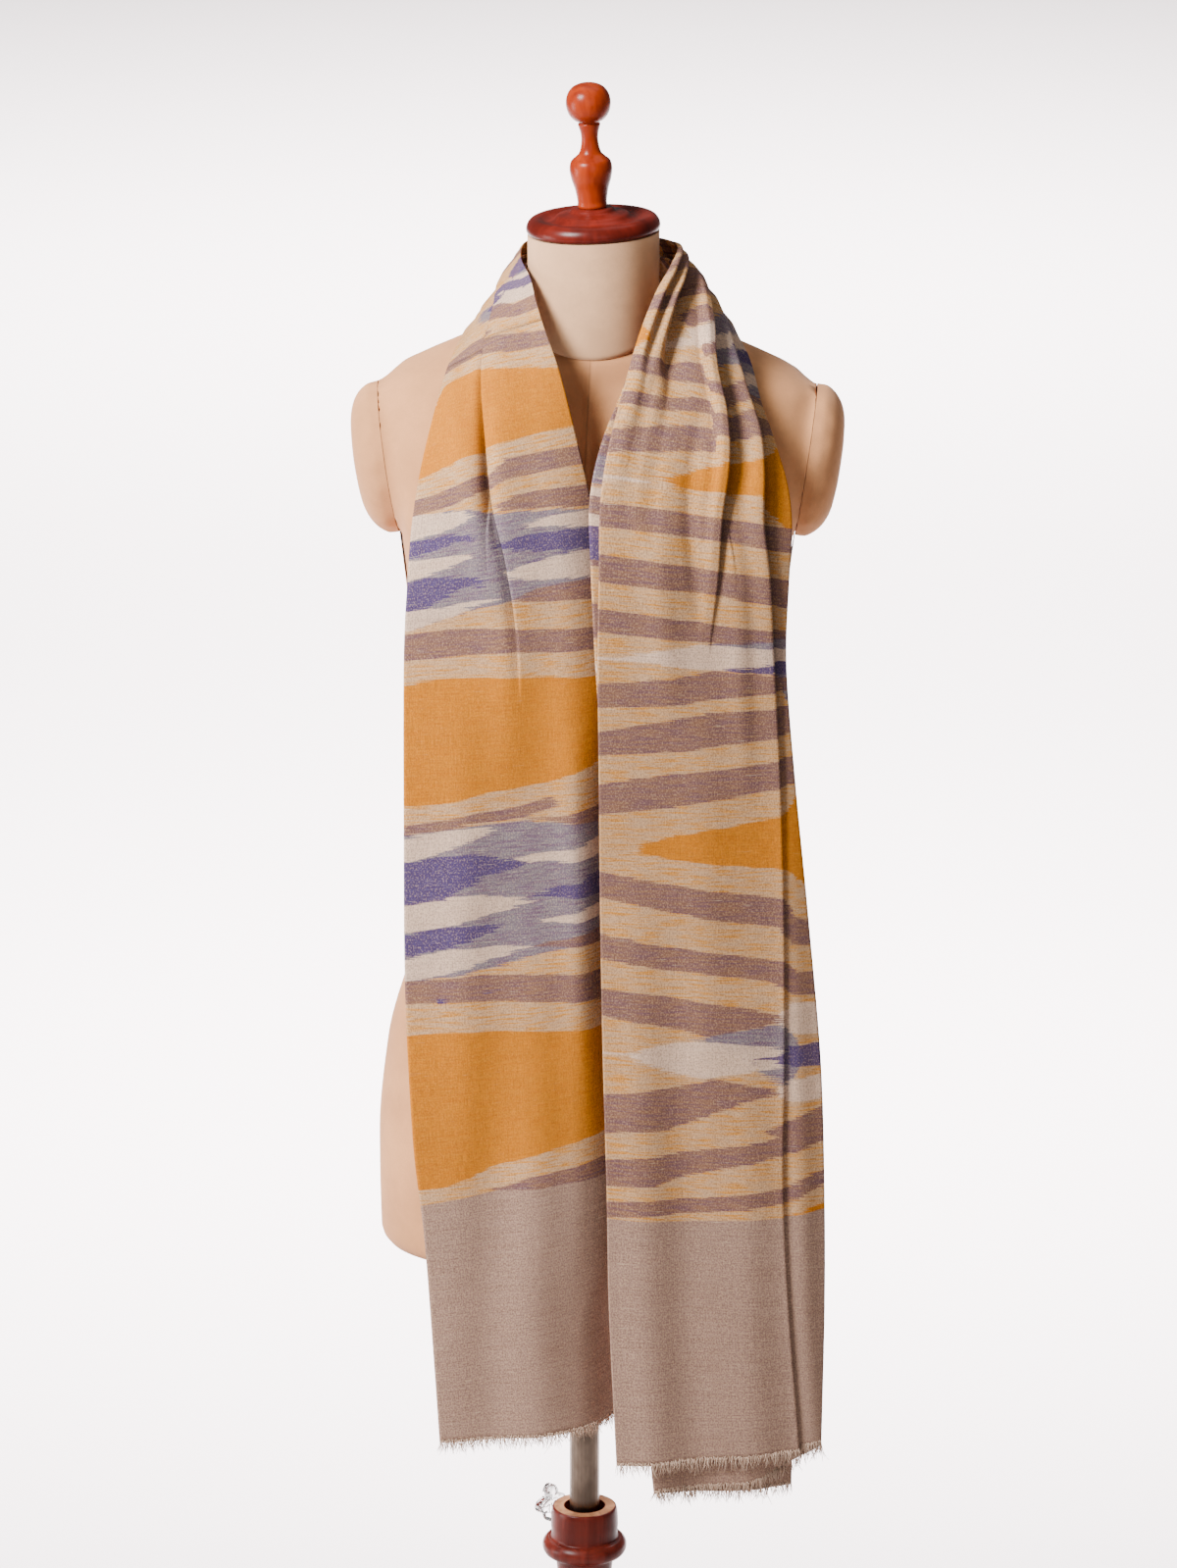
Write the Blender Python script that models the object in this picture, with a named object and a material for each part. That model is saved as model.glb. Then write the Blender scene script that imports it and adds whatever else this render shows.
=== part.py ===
"""A pashmina shawl draped round the neck of a limbless dress form on a turned wooden stand.

Metres, +Z up, front towards -Y. The origin is at the middle of the base's underside, on the stand's axis.

The shawl is one strip of cloth. A row of EDGES gives, at one station along it, where its inner edge
(next to the neck) and its outer edge lie in space. A row of FOLDS gives how the width is folded
there: from the inner edge outwards in front, two pleats that lap like shingles, round the outer
fold, back inwards behind, round a hidden fold and outwards again to the far selvedge.
"""

import math

import bmesh
import bpy
from mathutils import Matrix, Vector

# ------------------------------------------------------------------ driving sizes
SEAM_GAP = 0.0003           # between pieces that meet

CLOTH_THICK = 0.0011
LAYER_STEP = 0.0020         # from the middle of one layer to the middle of the next
FOLD_REACH = 0.0030         # how far a fold's rounding reaches back into the cloth
TAIL_SHARE = 0.94           # how near the last layer's selvedge lies to the outer fold, of the width
QUIET_STATIONS = ((0, 7), (15, 18), (26, 33))   # from and to: rows only at stations, not between
TWISTED_STATIONS = (10.6, 10.9)                 # rows here at every quarter, elsewhere at halves
SEAM_PLACES = 0.012         # in places along the stations: half the gap where two stretches meet

FRINGE_GAP = 0.0012         # between a hem and the strip that the strands grow from
FRINGE_STRIP = 0.0020       # height of that strip
FRINGE_LENGTH = 0.0085
FRINGE_SWAY = 0.0012
FRINGE_STRANDS = 54         # on each end

FORM_X = 0.010              # middle of the shoulders, beside the stand's axis
FORM_TURN = math.radians(-2)    # the form stands turned a little on its pole
NECK_X = 0.007
NECK_RADIUS = 0.050
NECK_SEAM_Z = 1.497         # on the neck's axis
NECK_SEAM_TILT = 0.404      # the seam rises towards the back
NECK_TOP_Z = 1.5665
CAP_TILT = math.radians(2.3)

ARM_PLATE_Z = 1.3885
ARM_PLATE_TILT = math.radians(8)
ARM_PLATE_HEIGHT = 0.119
ARM_PLATE_DEPTH = 0.094
ARM_PLATE_BULGE = 0.0265
ARM_PLATE_X = 0.1605        # from the middle of the shoulders to the plate's flat back
ARM_PLATE_Y = 0.006
ARMHOLE_MARGIN = 0.020      # the flat that the plate lies on reaches this far past it
ARM_PLATE_DOME = ((1.0, 0.0), (0.99, 0.25), (0.93, 0.52), (0.80, 0.77), (0.60, 0.93), (0.32, 1.0))

POLE_RADIUS = 0.012
POLE_BOTTOM_Z = 0.300
FORM_BOTTOM_Z = 0.751
FLANGE_RADIUS = 0.035
FLANGE_THICK = 0.006
COLLAR_TOP_Z = 0.520
BORE_RADIUS = 0.0165
BORE_BOTTOM_Z = 0.060
BASE_TOP_Z = 0.036

KNOB_Z = 0.5135
KNOB_TURN = math.radians(143)   # round the stand's axis, from +X towards +Y
KNOB_RADIUS = 0.0165
KNOB_THICK = 0.0095
KNOB_STANDOFF = 0.0300          # from the stand's axis to the knob's inner face
KNOB_ARMS = 4
KNOB_ROUNDING = 0.0015
SCREW_RADIUS = 0.0032
EDGE_BREAK = 0.001

ROUND_SEGMENTS = 24
FORM_SEGMENTS = 36

# ------------------------------------------------------------------ the shawl's stations
# inner edge x, y, z; outer edge x, y, z (metres); bulge of the middle outwards (millimetres)
EDGES = (
    # left end, from its hem upwards
    (0.020, -0.112, 0.638, -0.113, -0.130, 0.628, 9),
    (0.023, -0.113, 0.735, -0.118, -0.131, 0.712, 9),
    (0.026, -0.116, 0.821, -0.124, -0.132, 0.802, 8),
    (0.027, -0.120, 0.900, -0.132, -0.133, 0.880, 6),
    (0.026, -0.124, 1.014, -0.137, -0.133, 1.003, 5),
    (0.025, -0.128, 1.150, -0.137, -0.133, 1.138, 4),
    (0.022, -0.130, 1.275, -0.136, -0.130, 1.263, 4),
    (0.013, -0.129, 1.347, -0.133, -0.124, 1.324, 5),
    (0.002, -0.122, 1.395, -0.130, -0.114, 1.366, 6),
    (-0.010, -0.107, 1.443, -0.124, -0.097, 1.406, 6),
    (-0.021, -0.088, 1.482, -0.114, -0.072, 1.447, 4),
    # over the left shoulder and round the back of the neck
    (-0.033, -0.066, 1.513, -0.106, -0.040, 1.470, 3),
    (-0.043, -0.037, 1.537, -0.099, -0.006, 1.484, 2),
    (-0.051, 0.002, 1.549, -0.094, 0.037, 1.490, 0),
    (-0.043, 0.042, 1.551, -0.078, 0.085, 1.484, 0),
    (-0.018, 0.062, 1.549, -0.040, 0.112, 1.463, 0),
    (0.008, 0.067, 1.548, 0.012, 0.121, 1.452, 0),
    (0.034, 0.062, 1.549, 0.063, 0.112, 1.463, 0),
    (0.060, 0.044, 1.552, 0.101, 0.084, 1.485, 0),
    # over the right shoulder and down to the right end's hem
    (0.070, 0.006, 1.553, 0.117, 0.034, 1.496, 1),
    (0.064, -0.030, 1.545, 0.124, -0.002, 1.490, 2),
    (0.053, -0.054, 1.530, 0.132, -0.026, 1.474, 3),
    (0.041, -0.076, 1.503, 0.138, -0.052, 1.450, 5),
    (0.030, -0.098, 1.468, 0.147, -0.076, 1.424, 6),
    (0.019, -0.122, 1.431, 0.156, -0.094, 1.394, 6),
    (0.012, -0.140, 1.390, 0.159, -0.105, 1.362, 5),
    (0.011, -0.150, 1.340, 0.156, -0.112, 1.318, 5),
    (0.010, -0.153, 1.270, 0.154, -0.117, 1.255, 4),
    (0.011, -0.153, 1.172, 0.161, -0.120, 1.165, 4),
    (0.012, -0.152, 1.070, 0.172, -0.121, 1.058, 4),
    (0.014, -0.152, 0.955, 0.183, -0.121, 0.940, 5),
    (0.017, -0.151, 0.848, 0.187, -0.121, 0.832, 5),
    (0.019, -0.150, 0.745, 0.188, -0.121, 0.733, 6),
    (0.025, -0.148, 0.616, 0.186, -0.121, 0.6195, 7),
)
LEFT_END_ROW = 11           # station where the left end meets the neck wrap
RIGHT_END_ROW = 20          # station where the neck wrap meets the right end

# All in millimetres, but open, which is 1 where a pleat lies folded and 0 where it has opened out.
# ridge: the pleat's front edge, from the inner edge; under: what it turns under; back: where the
# layer behind folds, from the inner edge; roll: height of the rolls near the inner edge.
#   ridge 1, under 1, open 1, ridge 2, under 2, open 2, back, roll
FOLDS = (
    (60, -16, 0.00, 104, -14, 0.00, 4, 0),
    (62, -16, 0.00, 108, -14, 0.00, 3, 0),
    (66, -16, 0.00, 114, -14, 0.00, 2, 0),
    (70, -16, 0.00, 120, -14, 0.00, 2, 0),
    (72, -16, 0.00, 124, -14, 0.00, 2, 0),
    (72, -16, 0.00, 124, -14, 0.00, 2, 0),
    (72, -16, 0.00, 122, -14, 0.00, 2, 0),
    (72, -14, 0.10, 112, -14, 0.00, 3, 0),
    (72, -4, 0.75, 103, -12, 0.00, 4, 0),
    (66, 8, 1.00, 91, -10, 0.00, 6, 0),
    (54, 12, 1.00, 77, -9, 0.00, 8, 0),
    (42, 14, 1.00, 64, -8, 0.00, 9, 0),
    (32, 13, 1.00, 55, -8, 0.00, 10, 0),
    (27, 13, 1.00, 54, -5, 0.80, 10, 0),
    (28, 14, 1.00, 60, 7, 1.00, 10, 1),
    (32, 15, 1.00, 70, 15, 1.00, 9, 2),
    (34, 15, 1.00, 76, 16, 1.00, 9, 2),
    (32, 15, 1.00, 72, 16, 1.00, 9, 2),
    (28, 13, 1.00, 60, 14, 1.00, 9, 1.5),
    (29, 11, 1.00, 52, 12, 1.00, 10, 2),
    (38, 11, 1.00, 59, 12, 1.00, 10, 3.5),
    (51, 12, 1.00, 74, 13, 1.00, 9, 5),
    (63, 13, 1.00, 87, 15, 1.00, 6, 6),
    (78, 12, 1.00, 104, 16, 1.00, 2, 5),
    (92, 6, 1.00, 119, 17, 1.00, -3, 3),
    (94, -4, 0.80, 128, 17, 1.00, -5, 1),
    (92, -14, 0.10, 134, 16, 1.00, -4, 0),
    (86, -16, 0.00, 138, 15, 1.00, 0, 0),
    (84, -16, 0.00, 141, 14, 1.00, 5, 0),
    (84, -16, 0.00, 143, 14, 1.00, 8, 0),
    (84, -16, 0.00, 142, 14, 1.00, 10, 0),
    (84, -16, 0.00, 139, 14, 1.00, 14, 0),
    (86, -16, 0.00, 142, 14, 1.00, 22, 0),
    (88, -16, 0.00, 145, 14, 1.00, 30, 0),
)
# two rolls and a hollow on the first layer: share of the way to the first ridge, height
ROLL_SHAPE = ((0.10, 1.0), (0.22, -0.35), (0.34, 0.85), (0.48, -0.95), (0.75, 0.10))

# How far each layer's hem hangs below the station's line, front layer to hidden layer, in metres
LEFT_HEMS = (0.000, 0.000, 0.000, -0.004, -0.010)
RIGHT_HEMS = (0.000, 0.000, -0.004, 0.040, 0.030)
HEM_REACH = 0.14            # over this much length a layer's own hem drop builds up

# ------------------------------------------------------------------ the dress form
# height on the axis, half width, front, back, tilt (rise of the section per metre backwards)
TORSO = (
    (0.751, 0.158, 0.090, 0.098, 0.000),
    (0.754, 0.167, 0.098, 0.106, 0.000),
    (0.764, 0.1725, 0.103, 0.111, 0.000),
    (0.840, 0.1735, 0.105, 0.115, 0.000),
    (0.920, 0.166, 0.101, 0.112, 0.000),
    (1.000, 0.143, 0.092, 0.096, 0.000),
    (1.070, 0.123, 0.084, 0.082, 0.000),
    (1.130, 0.122, 0.085, 0.078, 0.000),
    (1.200, 0.136, 0.099, 0.082, 0.000),
    (1.260, 0.145, 0.110, 0.090, 0.000),
    (1.310, 0.149, 0.108, 0.097, 0.000),
    (1.330, 0.1525, 0.104, 0.099, 0.000),
    (1.345, 0.160, 0.100, 0.101, 0.000),
    (1.362, 0.168, 0.095, 0.102, 0.000),
    (1.385, 0.177, 0.084, 0.102, 0.000),
    (1.405, 0.1795, 0.076, 0.101, 0.000),
    (1.422, 0.178, 0.067, 0.098, 0.030),
    (1.436, 0.1745, 0.060, 0.094, 0.070),
    (1.446, 0.1695, 0.056, 0.090, 0.110),
    (1.455, 0.155, 0.054, 0.085, 0.160),
    (1.465, 0.125, 0.053, 0.079, 0.240),
    (1.476, 0.094, 0.052, 0.070, 0.320),
    (1.487, 0.067, 0.052, 0.061, 0.380),
    (1.4967, 0.0505, 0.0505, 0.0505, 0.404),
)
TORSO_ROUNDNESS = 2.25      # 2 is an ellipse

# turned profiles: radius, height, from the bottom up
CAP_PROFILE = (
    (0.0000, 0.0000), (0.0470, 0.0000), (0.0500, 0.0010), (0.0512, 0.0035), (0.0507, 0.0070),
    (0.0485, 0.0105), (0.0450, 0.0124), (0.0415, 0.0122), (0.0370, 0.0104), (0.0335, 0.0100),
    (0.0300, 0.0114), (0.0270, 0.0140), (0.0235, 0.0150), (0.0180, 0.0160), (0.0150, 0.0188),
    (0.0000, 0.0190),
)
FINIAL_PROFILE = (
    (0.0000, 0.0000), (0.0108, 0.0000), (0.0112, 0.0050), (0.0128, 0.0140), (0.0152, 0.0220),
    (0.0163, 0.0295), (0.0150, 0.0355), (0.0115, 0.0388), (0.0084, 0.0420),
    (0.0064, 0.0510), (0.0068, 0.0570), (0.0080, 0.0615), (0.0085, 0.0638), (0.0080, 0.0650),
    (0.0115, 0.0672), (0.0152, 0.0718), (0.0171, 0.0798), (0.0155, 0.0874), (0.0115, 0.0923),
    (0.0055, 0.0949), (0.0000, 0.0953),
)
COLUMN_PROFILE = (
    (0.0000, 0.0363), (0.0700, 0.0363), (0.0720, 0.0420), (0.0640, 0.0520), (0.0420, 0.0620),
    (0.0360, 0.0760), (0.0400, 0.0960), (0.0450, 0.1250), (0.0440, 0.1700), (0.0370, 0.2400),
    (0.0310, 0.3000), (0.0270, 0.3800), (0.0330, 0.3860), (0.0340, 0.3930), (0.0290, 0.4000),
    (0.0240, 0.4060), (0.0225, 0.4250), (0.0250, 0.4790),
    (0.0310, 0.4800), (0.0337, 0.4840), (0.0337, 0.4890), (0.0305, 0.4930), (0.0272, 0.4940),
    (0.0272, 0.5060), (0.0262, 0.5180), (0.0250, COLLAR_TOP_Z), (BORE_RADIUS, COLLAR_TOP_Z),
    (BORE_RADIUS, BORE_BOTTOM_Z), (0.0000, BORE_BOTTOM_Z),
)
BASE_PROFILE = (
    (0.0000, 0.0000), (0.1960, 0.0000), (0.2000, 0.0050), (0.2000, 0.0140), (0.1960, 0.0190),
    (0.1850, 0.0205), (0.1780, 0.0225), (0.1400, 0.0290), (0.0900, BASE_TOP_Z), (0.0000, BASE_TOP_Z),
)


# ------------------------------------------------------------------ tools
def clear_scene():
    for old in list(bpy.data.objects):
        bpy.data.objects.remove(old, do_unlink=True)


def material(name, colour, roughness, metallic=0.0):
    made = bpy.data.materials.new(name)
    made.use_nodes = True
    shader = made.node_tree.nodes["Principled BSDF"]
    shader.inputs["Base Color"].default_value = (*colour, 1.0)
    shader.inputs["Roughness"].default_value = roughness
    shader.inputs["Metallic"].default_value = metallic
    return made


def object_from_mesh(name, maker, paint, parent=None):
    mesh = bpy.data.meshes.new(name)
    maker.to_mesh(mesh)
    maker.free()
    mesh.materials.append(paint)
    mesh.shade_smooth()
    mesh.set_sharp_from_angle(angle=math.radians(40))
    made = bpy.data.objects.new(name, mesh)
    bpy.context.scene.collection.objects.link(made)
    made.parent = parent
    return made


def turned(name, profile, paint, segments=ROUND_SEGMENTS, parent=None):
    """A solid of revolution about Z. The profile starts and ends on the axis, from the bottom up."""
    maker = bmesh.new()
    rings = []
    for radius, height in profile:
        if radius == 0:
            rings.append([maker.verts.new((0, 0, height))])
            continue
        angles = [2 * math.pi * k / segments for k in range(segments)]
        rings.append([
            maker.verts.new((radius * math.cos(a), radius * math.sin(a), height)) for a in angles
        ])
    for lower, upper in zip(rings, rings[1:]):
        for k in range(segments):
            after = (k + 1) % segments
            if len(lower) == 1:
                maker.faces.new((lower[0], upper[after], upper[k]))
            elif len(upper) == 1:
                maker.faces.new((lower[k], lower[after], upper[0]))
            else:
                maker.faces.new((lower[k], lower[after], upper[after], upper[k]))
    return object_from_mesh(name, maker, paint, parent)


def lofted(name, rings, paint, parent=None):
    """Closes a stack of rings, each a list of points counter-clockwise seen from above."""
    maker = bmesh.new()
    loops = [[maker.verts.new(point) for point in ring] for ring in rings]
    for lower, upper in zip(loops, loops[1:]):
        for k in range(len(lower)):
            after = (k + 1) % len(lower)
            maker.faces.new((lower[k], lower[after], upper[after], upper[k]))
    maker.faces.new(loops[0][::-1])
    maker.faces.new(loops[-1])
    return object_from_mesh(name, maker, paint, parent)


# ------------------------------------------------------------------ the shawl's surface
def blend(a, b, share):
    return a + (b - a) * share


def smooth_row(table, place):
    """The table's row at a fractional place, on a Catmull-Rom curve through its rows."""
    last = len(table) - 1
    first = min(int(place), last - 1)
    t = place - first
    rows = [table[min(max(k, 0), last)] for k in range(first - 1, first + 3)]
    weights = (
        -0.5 * t + t * t - 0.5 * t ** 3,
        1 - 2.5 * t * t + 1.5 * t ** 3,
        0.5 * t + 2 * t * t - 1.5 * t ** 3,
        -0.5 * t * t + 0.5 * t ** 3,
    )
    return [sum(w * row[c] for w, row in zip(weights, rows)) for c in range(len(table[0]))]


def edge_points(place):
    row = smooth_row(EDGES, place)
    return Vector(row[0:3]), Vector(row[3:6]), row[6] / 1000


def spine_point(place):
    inner, outer, _ = edge_points(place)
    return (inner + outer) / 2


def sheet_frame(place):
    """Inner edge, outer edge, bulge and outward direction of the station at this place."""
    inner, outer, bulge = edge_points(place)
    nearby = 0.05
    low = max(place - nearby, 0)
    high = min(place + nearby, len(EDGES) - 1)
    along = spine_point(high) - spine_point(low)
    outward = along.cross(outer - inner).normalized()
    return inner, outer, bulge, outward


def front_point(frame, across):
    """A point of the front layer, across being 0 at the inner edge and 1 at the outer one."""
    inner, outer, bulge, outward = frame
    return inner.lerp(outer, across) + outward * (4 * across * (1 - across) * bulge)


def fold_corners(place, width):
    """(across, depth, layer) of the folded section's control points in metres, inner edge first."""
    row = smooth_row(FOLDS, place)
    ridge_1, under_1, ridge_2, under_2, back, roll = (
        row[c] / 1000 for c in (0, 1, 3, 4, 6, 7)
    )
    open_1, open_2 = (min(max(row[c], 0), 1) for c in (2, 5))
    corners = [(0.0, 0.0, 0)]
    depth = 0.0

    def run(start, end, level, layers):
        pieces = len(layers) + 1
        for k, layer in enumerate(layers, 1):
            corners.append((blend(start, end, k / pieces), -level, layer))

    def turn(at, level, inwards, layer, after):
        corners.extend((
            (at - inwards * FOLD_REACH, -level, layer),
            (at, -level, layer),
            (at, -level - LAYER_STEP, after),
            (at - inwards * FOLD_REACH, -level - LAYER_STEP, after),
        ))

    def pleat(ridge, under, open_share, level, layer):
        """The turn under, the short run behind it and the turn out again, or one soft step if open."""
        step = LAYER_STEP * open_share
        root = ridge - under
        turned_in = max(min(under / 2, FOLD_REACH), -FOLD_REACH)
        upright = step * (1 - min(abs(under) / (2 * FOLD_REACH), 1))
        corners.extend((
            (ridge - FOLD_REACH, -level, layer),
            (ridge, -level, layer),
            (ridge, -level - step + upright / 2, layer),
            (ridge - turned_in, -level - step + upright / 6, layer),
            (root + turned_in, -level - step - upright / 6, layer),
            (root, -level - step - upright / 2, layer),
            (root, -level - 2 * step, layer),
            (root + FOLD_REACH, -level - 2 * step, layer),
        ))
        return root, level + 2 * step

    for share, height in ROLL_SHAPE:
        corners.append((share * ridge_1, roll * height, 0))
    root_1, depth = pleat(ridge_1, under_1, open_1, depth, 0)
    run(root_1, ridge_2, depth, (1, 1))
    root_2, depth = pleat(ridge_2, under_2, open_2, depth, 1)
    run(root_2, width, depth, (2,))
    turn(width, depth, 1, 2, 2.1)
    depth += LAYER_STEP
    run(width, back, depth, (2.5, 3, 3, 3))
    turn(back, depth, -1, 3, 3.3)
    depth += LAYER_STEP
    run(back, TAIL_SHARE * width, depth, (3.7, 4, 4))
    corners.append((TAIL_SHARE * width, -depth, 4))
    return corners


def section_line(corners):
    """The ends and the middles of the control polygon's sides: points of its smooth curve."""
    middles = [
        tuple((a[c] + b[c]) / 2 for c in range(3)) for a, b in zip(corners, corners[1:])
    ]
    return [corners[0], *middles, corners[-1]]


def wall_sides(line, thick):
    """The section's two faces, each half the thickness off its middle line."""
    upper = []
    lower = []
    for k, (across, depth, layer) in enumerate(line):
        before = line[max(k - 1, 0)]
        after = line[min(k + 1, len(line) - 1)]
        lean = Vector((after[0] - before[0], after[1] - before[1])).normalized()
        upper.append((across - lean.y * thick / 2, depth + lean.x * thick / 2, layer))
        lower.append((across + lean.y * thick / 2, depth - lean.x * thick / 2, layer))
    return upper, lower


def hem_drop(layer, hems):
    first = min(int(layer), len(hems) - 2)
    return blend(hems[first], hems[first + 1], layer - first)


def cloth_point(frame, width, spot, drop):
    across, depth, _ = spot
    _, _, _, outward = frame
    point = front_point(frame, across / width) + outward * depth
    return point - Vector((0, 0, drop))


def row_hem_share(place):
    """1 at either hem, falling to 0 over HEM_REACH, and which end's hems count."""
    here = spine_point(place)
    last = len(EDGES) - 1
    left_end = place < last / 2
    hem = spine_point(0 if left_end else last)
    share = max(0.0, 1 - (here - hem).length / HEM_REACH)
    return share * share * (3 - 2 * share), LEFT_HEMS if left_end else RIGHT_HEMS


def cloth_ring(place):
    """One closed ring of the wall at this place along the shawl."""
    frame = sheet_frame(place)
    width = (frame[1] - frame[0]).length
    line = section_line(fold_corners(place, width))
    upper, lower = wall_sides(line, CLOTH_THICK)
    share, hems = row_hem_share(place)
    spots = upper + lower[::-1]
    return [
        cloth_point(frame, width, spot, share * hem_drop(spot[2], hems)) for spot in spots
    ]


def cloth_wall(name, start, end, paint, parent):
    """A stretch of the shawl between two places, as one closed folded wall."""
    last = len(EDGES) - 1
    places = [start, end]
    for quarter in range(4 * last):
        place = quarter / 4
        quiet = any(low < place < high for low, high in QUIET_STATIONS)
        twisted = TWISTED_STATIONS[0] < place < TWISTED_STATIONS[1]
        step = 4 if quiet else 1 if twisted else 2
        if start + 0.2 < place < end - 0.2 and quarter % step == 0:
            places.append(place)
    rings = [cloth_ring(place) for place in sorted(places)]
    maker = bmesh.new()
    loops = [[maker.verts.new(point) for point in ring] for ring in rings]
    size = len(loops[0])
    for before, after in zip(loops, loops[1:]):
        for k in range(size):
            step = (k + 1) % size
            maker.faces.new((before[k], after[k], after[step], before[step]))
    for loop, flip in ((loops[0], False), (loops[-1], True)):
        for k in range(size // 2 - 1):
            corners = (loop[k], loop[k + 1], loop[size - 2 - k], loop[size - 1 - k])
            maker.faces.new(corners[::-1] if flip else corners)
    bmesh.ops.recalc_face_normals(maker, faces=maker.faces)
    return object_from_mesh(name, maker, paint, parent)


# ------------------------------------------------------------------ fringe
def even_spots(line, count):
    """This many evenly spaced spots along the section line."""
    reach = [0.0]
    for a, b in zip(line, line[1:]):
        reach.append(reach[-1] + math.hypot(b[0] - a[0], b[1] - a[1]))
    spots = []
    k = 0
    for n in range(count):
        want = reach[-1] * n / (count - 1)
        while k < len(line) - 2 and reach[k + 1] < want:
            k += 1
        share = (want - reach[k]) / max(reach[k + 1] - reach[k], 1e-9)
        spots.append(tuple(blend(line[k][c], line[k + 1][c], share) for c in range(3)))
    return spots


def fringe(name, place, paint, parent):
    """A narrow strip just below a hem, with strands drawn out of every second cell below it."""
    frame = sheet_frame(place)
    width = (frame[1] - frame[0]).length
    dense = section_line(fold_corners(place, width))
    line = even_spots(dense, 2 * FRINGE_STRANDS + 2)
    upper, lower = wall_sides(line, CLOTH_THICK * 0.8)
    share, hems = row_hem_share(place)
    maker = bmesh.new()

    def level(spots, lower_by):
        return [
            maker.verts.new(
                cloth_point(frame, width, spot, lower_by + share * hem_drop(spot[2], hems))
            )
            for spot in spots
        ]

    top = FRINGE_GAP
    front_top, back_top = level(upper, top), level(lower, top)
    front_low, back_low = level(upper, top + FRINGE_STRIP), level(lower, top + FRINGE_STRIP)
    cells = len(line) - 1
    for k in range(cells):
        maker.faces.new((front_top[k], front_low[k], front_low[k + 1], front_top[k + 1]))
        maker.faces.new((back_top[k + 1], back_low[k + 1], back_low[k], back_top[k]))
        maker.faces.new((front_top[k + 1], back_top[k + 1], back_top[k], front_top[k]))
        foot = (front_low[k], back_low[k], back_low[k + 1], front_low[k + 1])
        if k % 2 == 0:
            maker.faces.new(foot)
            continue
        sway = FRINGE_SWAY * math.sin(k * 1.7)
        middle = sum((corner.co for corner in foot), Vector()) / 4
        tip = maker.verts.new(middle + Vector((sway, 0, -FRINGE_LENGTH)))
        for a, b in zip(foot, (*foot[1:], foot[0])):
            maker.faces.new((a, b, tip))
    maker.faces.new((front_top[0], back_top[0], back_low[0], front_low[0]))
    maker.faces.new((front_top[-1], front_low[-1], back_low[-1], back_top[-1]))
    bmesh.ops.recalc_face_normals(maker, faces=maker.faces)
    return object_from_mesh(name, maker, paint, parent)


# ------------------------------------------------------------------ the dress form
FORM_TURNED = Matrix.Rotation(FORM_TURN, 3, "Z")


def torso_ring(row):
    height, half, front, back, tilt = row
    middle = blend(FORM_X, NECK_X, max(0.0, (height - 1.40) / (NECK_SEAM_Z - 1.40)))
    power = blend(TORSO_ROUNDNESS, 2.0, max(0.0, (height - 1.44) / (NECK_SEAM_Z - 1.44)))
    ring = []
    for k in range(FORM_SEGMENTS):
        angle = 2 * math.pi * k / FORM_SEGMENTS
        c, s = math.cos(angle), math.sin(angle)
        x = math.copysign(abs(c) ** (2 / power), c) * half
        y = math.copysign(abs(s) ** (2 / power), s) * (back if s > 0 else front)
        ring.append(Vector((middle, 0, height)) + FORM_TURNED @ Vector((x, y, tilt * y)))
    return ring


def arm_oval(radius_share, outward, side, growth=0.0):
    """An oval of the arm plate, this far out of its flat back."""
    place = Matrix.Translation((FORM_X, 0, ARM_PLATE_Z)) @ FORM_TURNED.to_4x4()
    place @= Matrix.Translation((side * ARM_PLATE_X, ARM_PLATE_Y, 0))
    place @= Matrix.Rotation(side * ARM_PLATE_TILT, 4, "Y")
    ring = []
    for k in range(ROUND_SEGMENTS):
        angle = 2 * math.pi * k / ROUND_SEGMENTS
        y = math.cos(angle) * (ARM_PLATE_DEPTH / 2 * radius_share + growth)
        z = math.sin(angle) * (ARM_PLATE_HEIGHT / 2 * radius_share + growth)
        ring.append(place @ Vector((side * outward, side * y, z)))
    return ring


def arm_plate(name, side, paint, parent):
    rings = [arm_oval(share, ARM_PLATE_BULGE * rise, side) for share, rise in ARM_PLATE_DOME]
    lofted(name, rings, paint, parent)


def armhole_cutter(name, side):
    rings = [
        arm_oval(1, -SEAM_GAP, side, ARMHOLE_MARGIN),
        arm_oval(1, 0.05, side, ARMHOLE_MARGIN),
    ]
    cutter = lofted(name, rings, material(name, (1, 0, 0), 1.0))
    cutter.hide_render = True
    cutter.display_type = "WIRE"
    return cutter


def cut_with(piece, cutter):
    cut = piece.modifiers.new(cutter.name, "BOOLEAN")
    cut.operation = "DIFFERENCE"
    cut.solver = "EXACT"
    cut.object = cutter


def neck_rings():
    """From the tilted neck seam up to the cap's underside."""
    rows = []
    for share in (0.0, 0.12, 0.5, 1.0):
        ring = []
        radius = blend(NECK_RADIUS + 0.0005, NECK_RADIUS, min(share * 6, 1))
        for k in range(FORM_SEGMENTS):
            angle = 2 * math.pi * k / FORM_SEGMENTS
            around = FORM_TURNED @ Vector((radius * math.cos(angle), radius * math.sin(angle), 0))
            low = NECK_SEAM_Z + NECK_SEAM_TILT * radius * math.sin(angle)
            high = NECK_TOP_Z - SEAM_GAP + math.tan(CAP_TILT) * around.x
            ring.append((NECK_X + around.x, around.y, blend(low, high, share)))
        rows.append(ring)
    return rows


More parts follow.
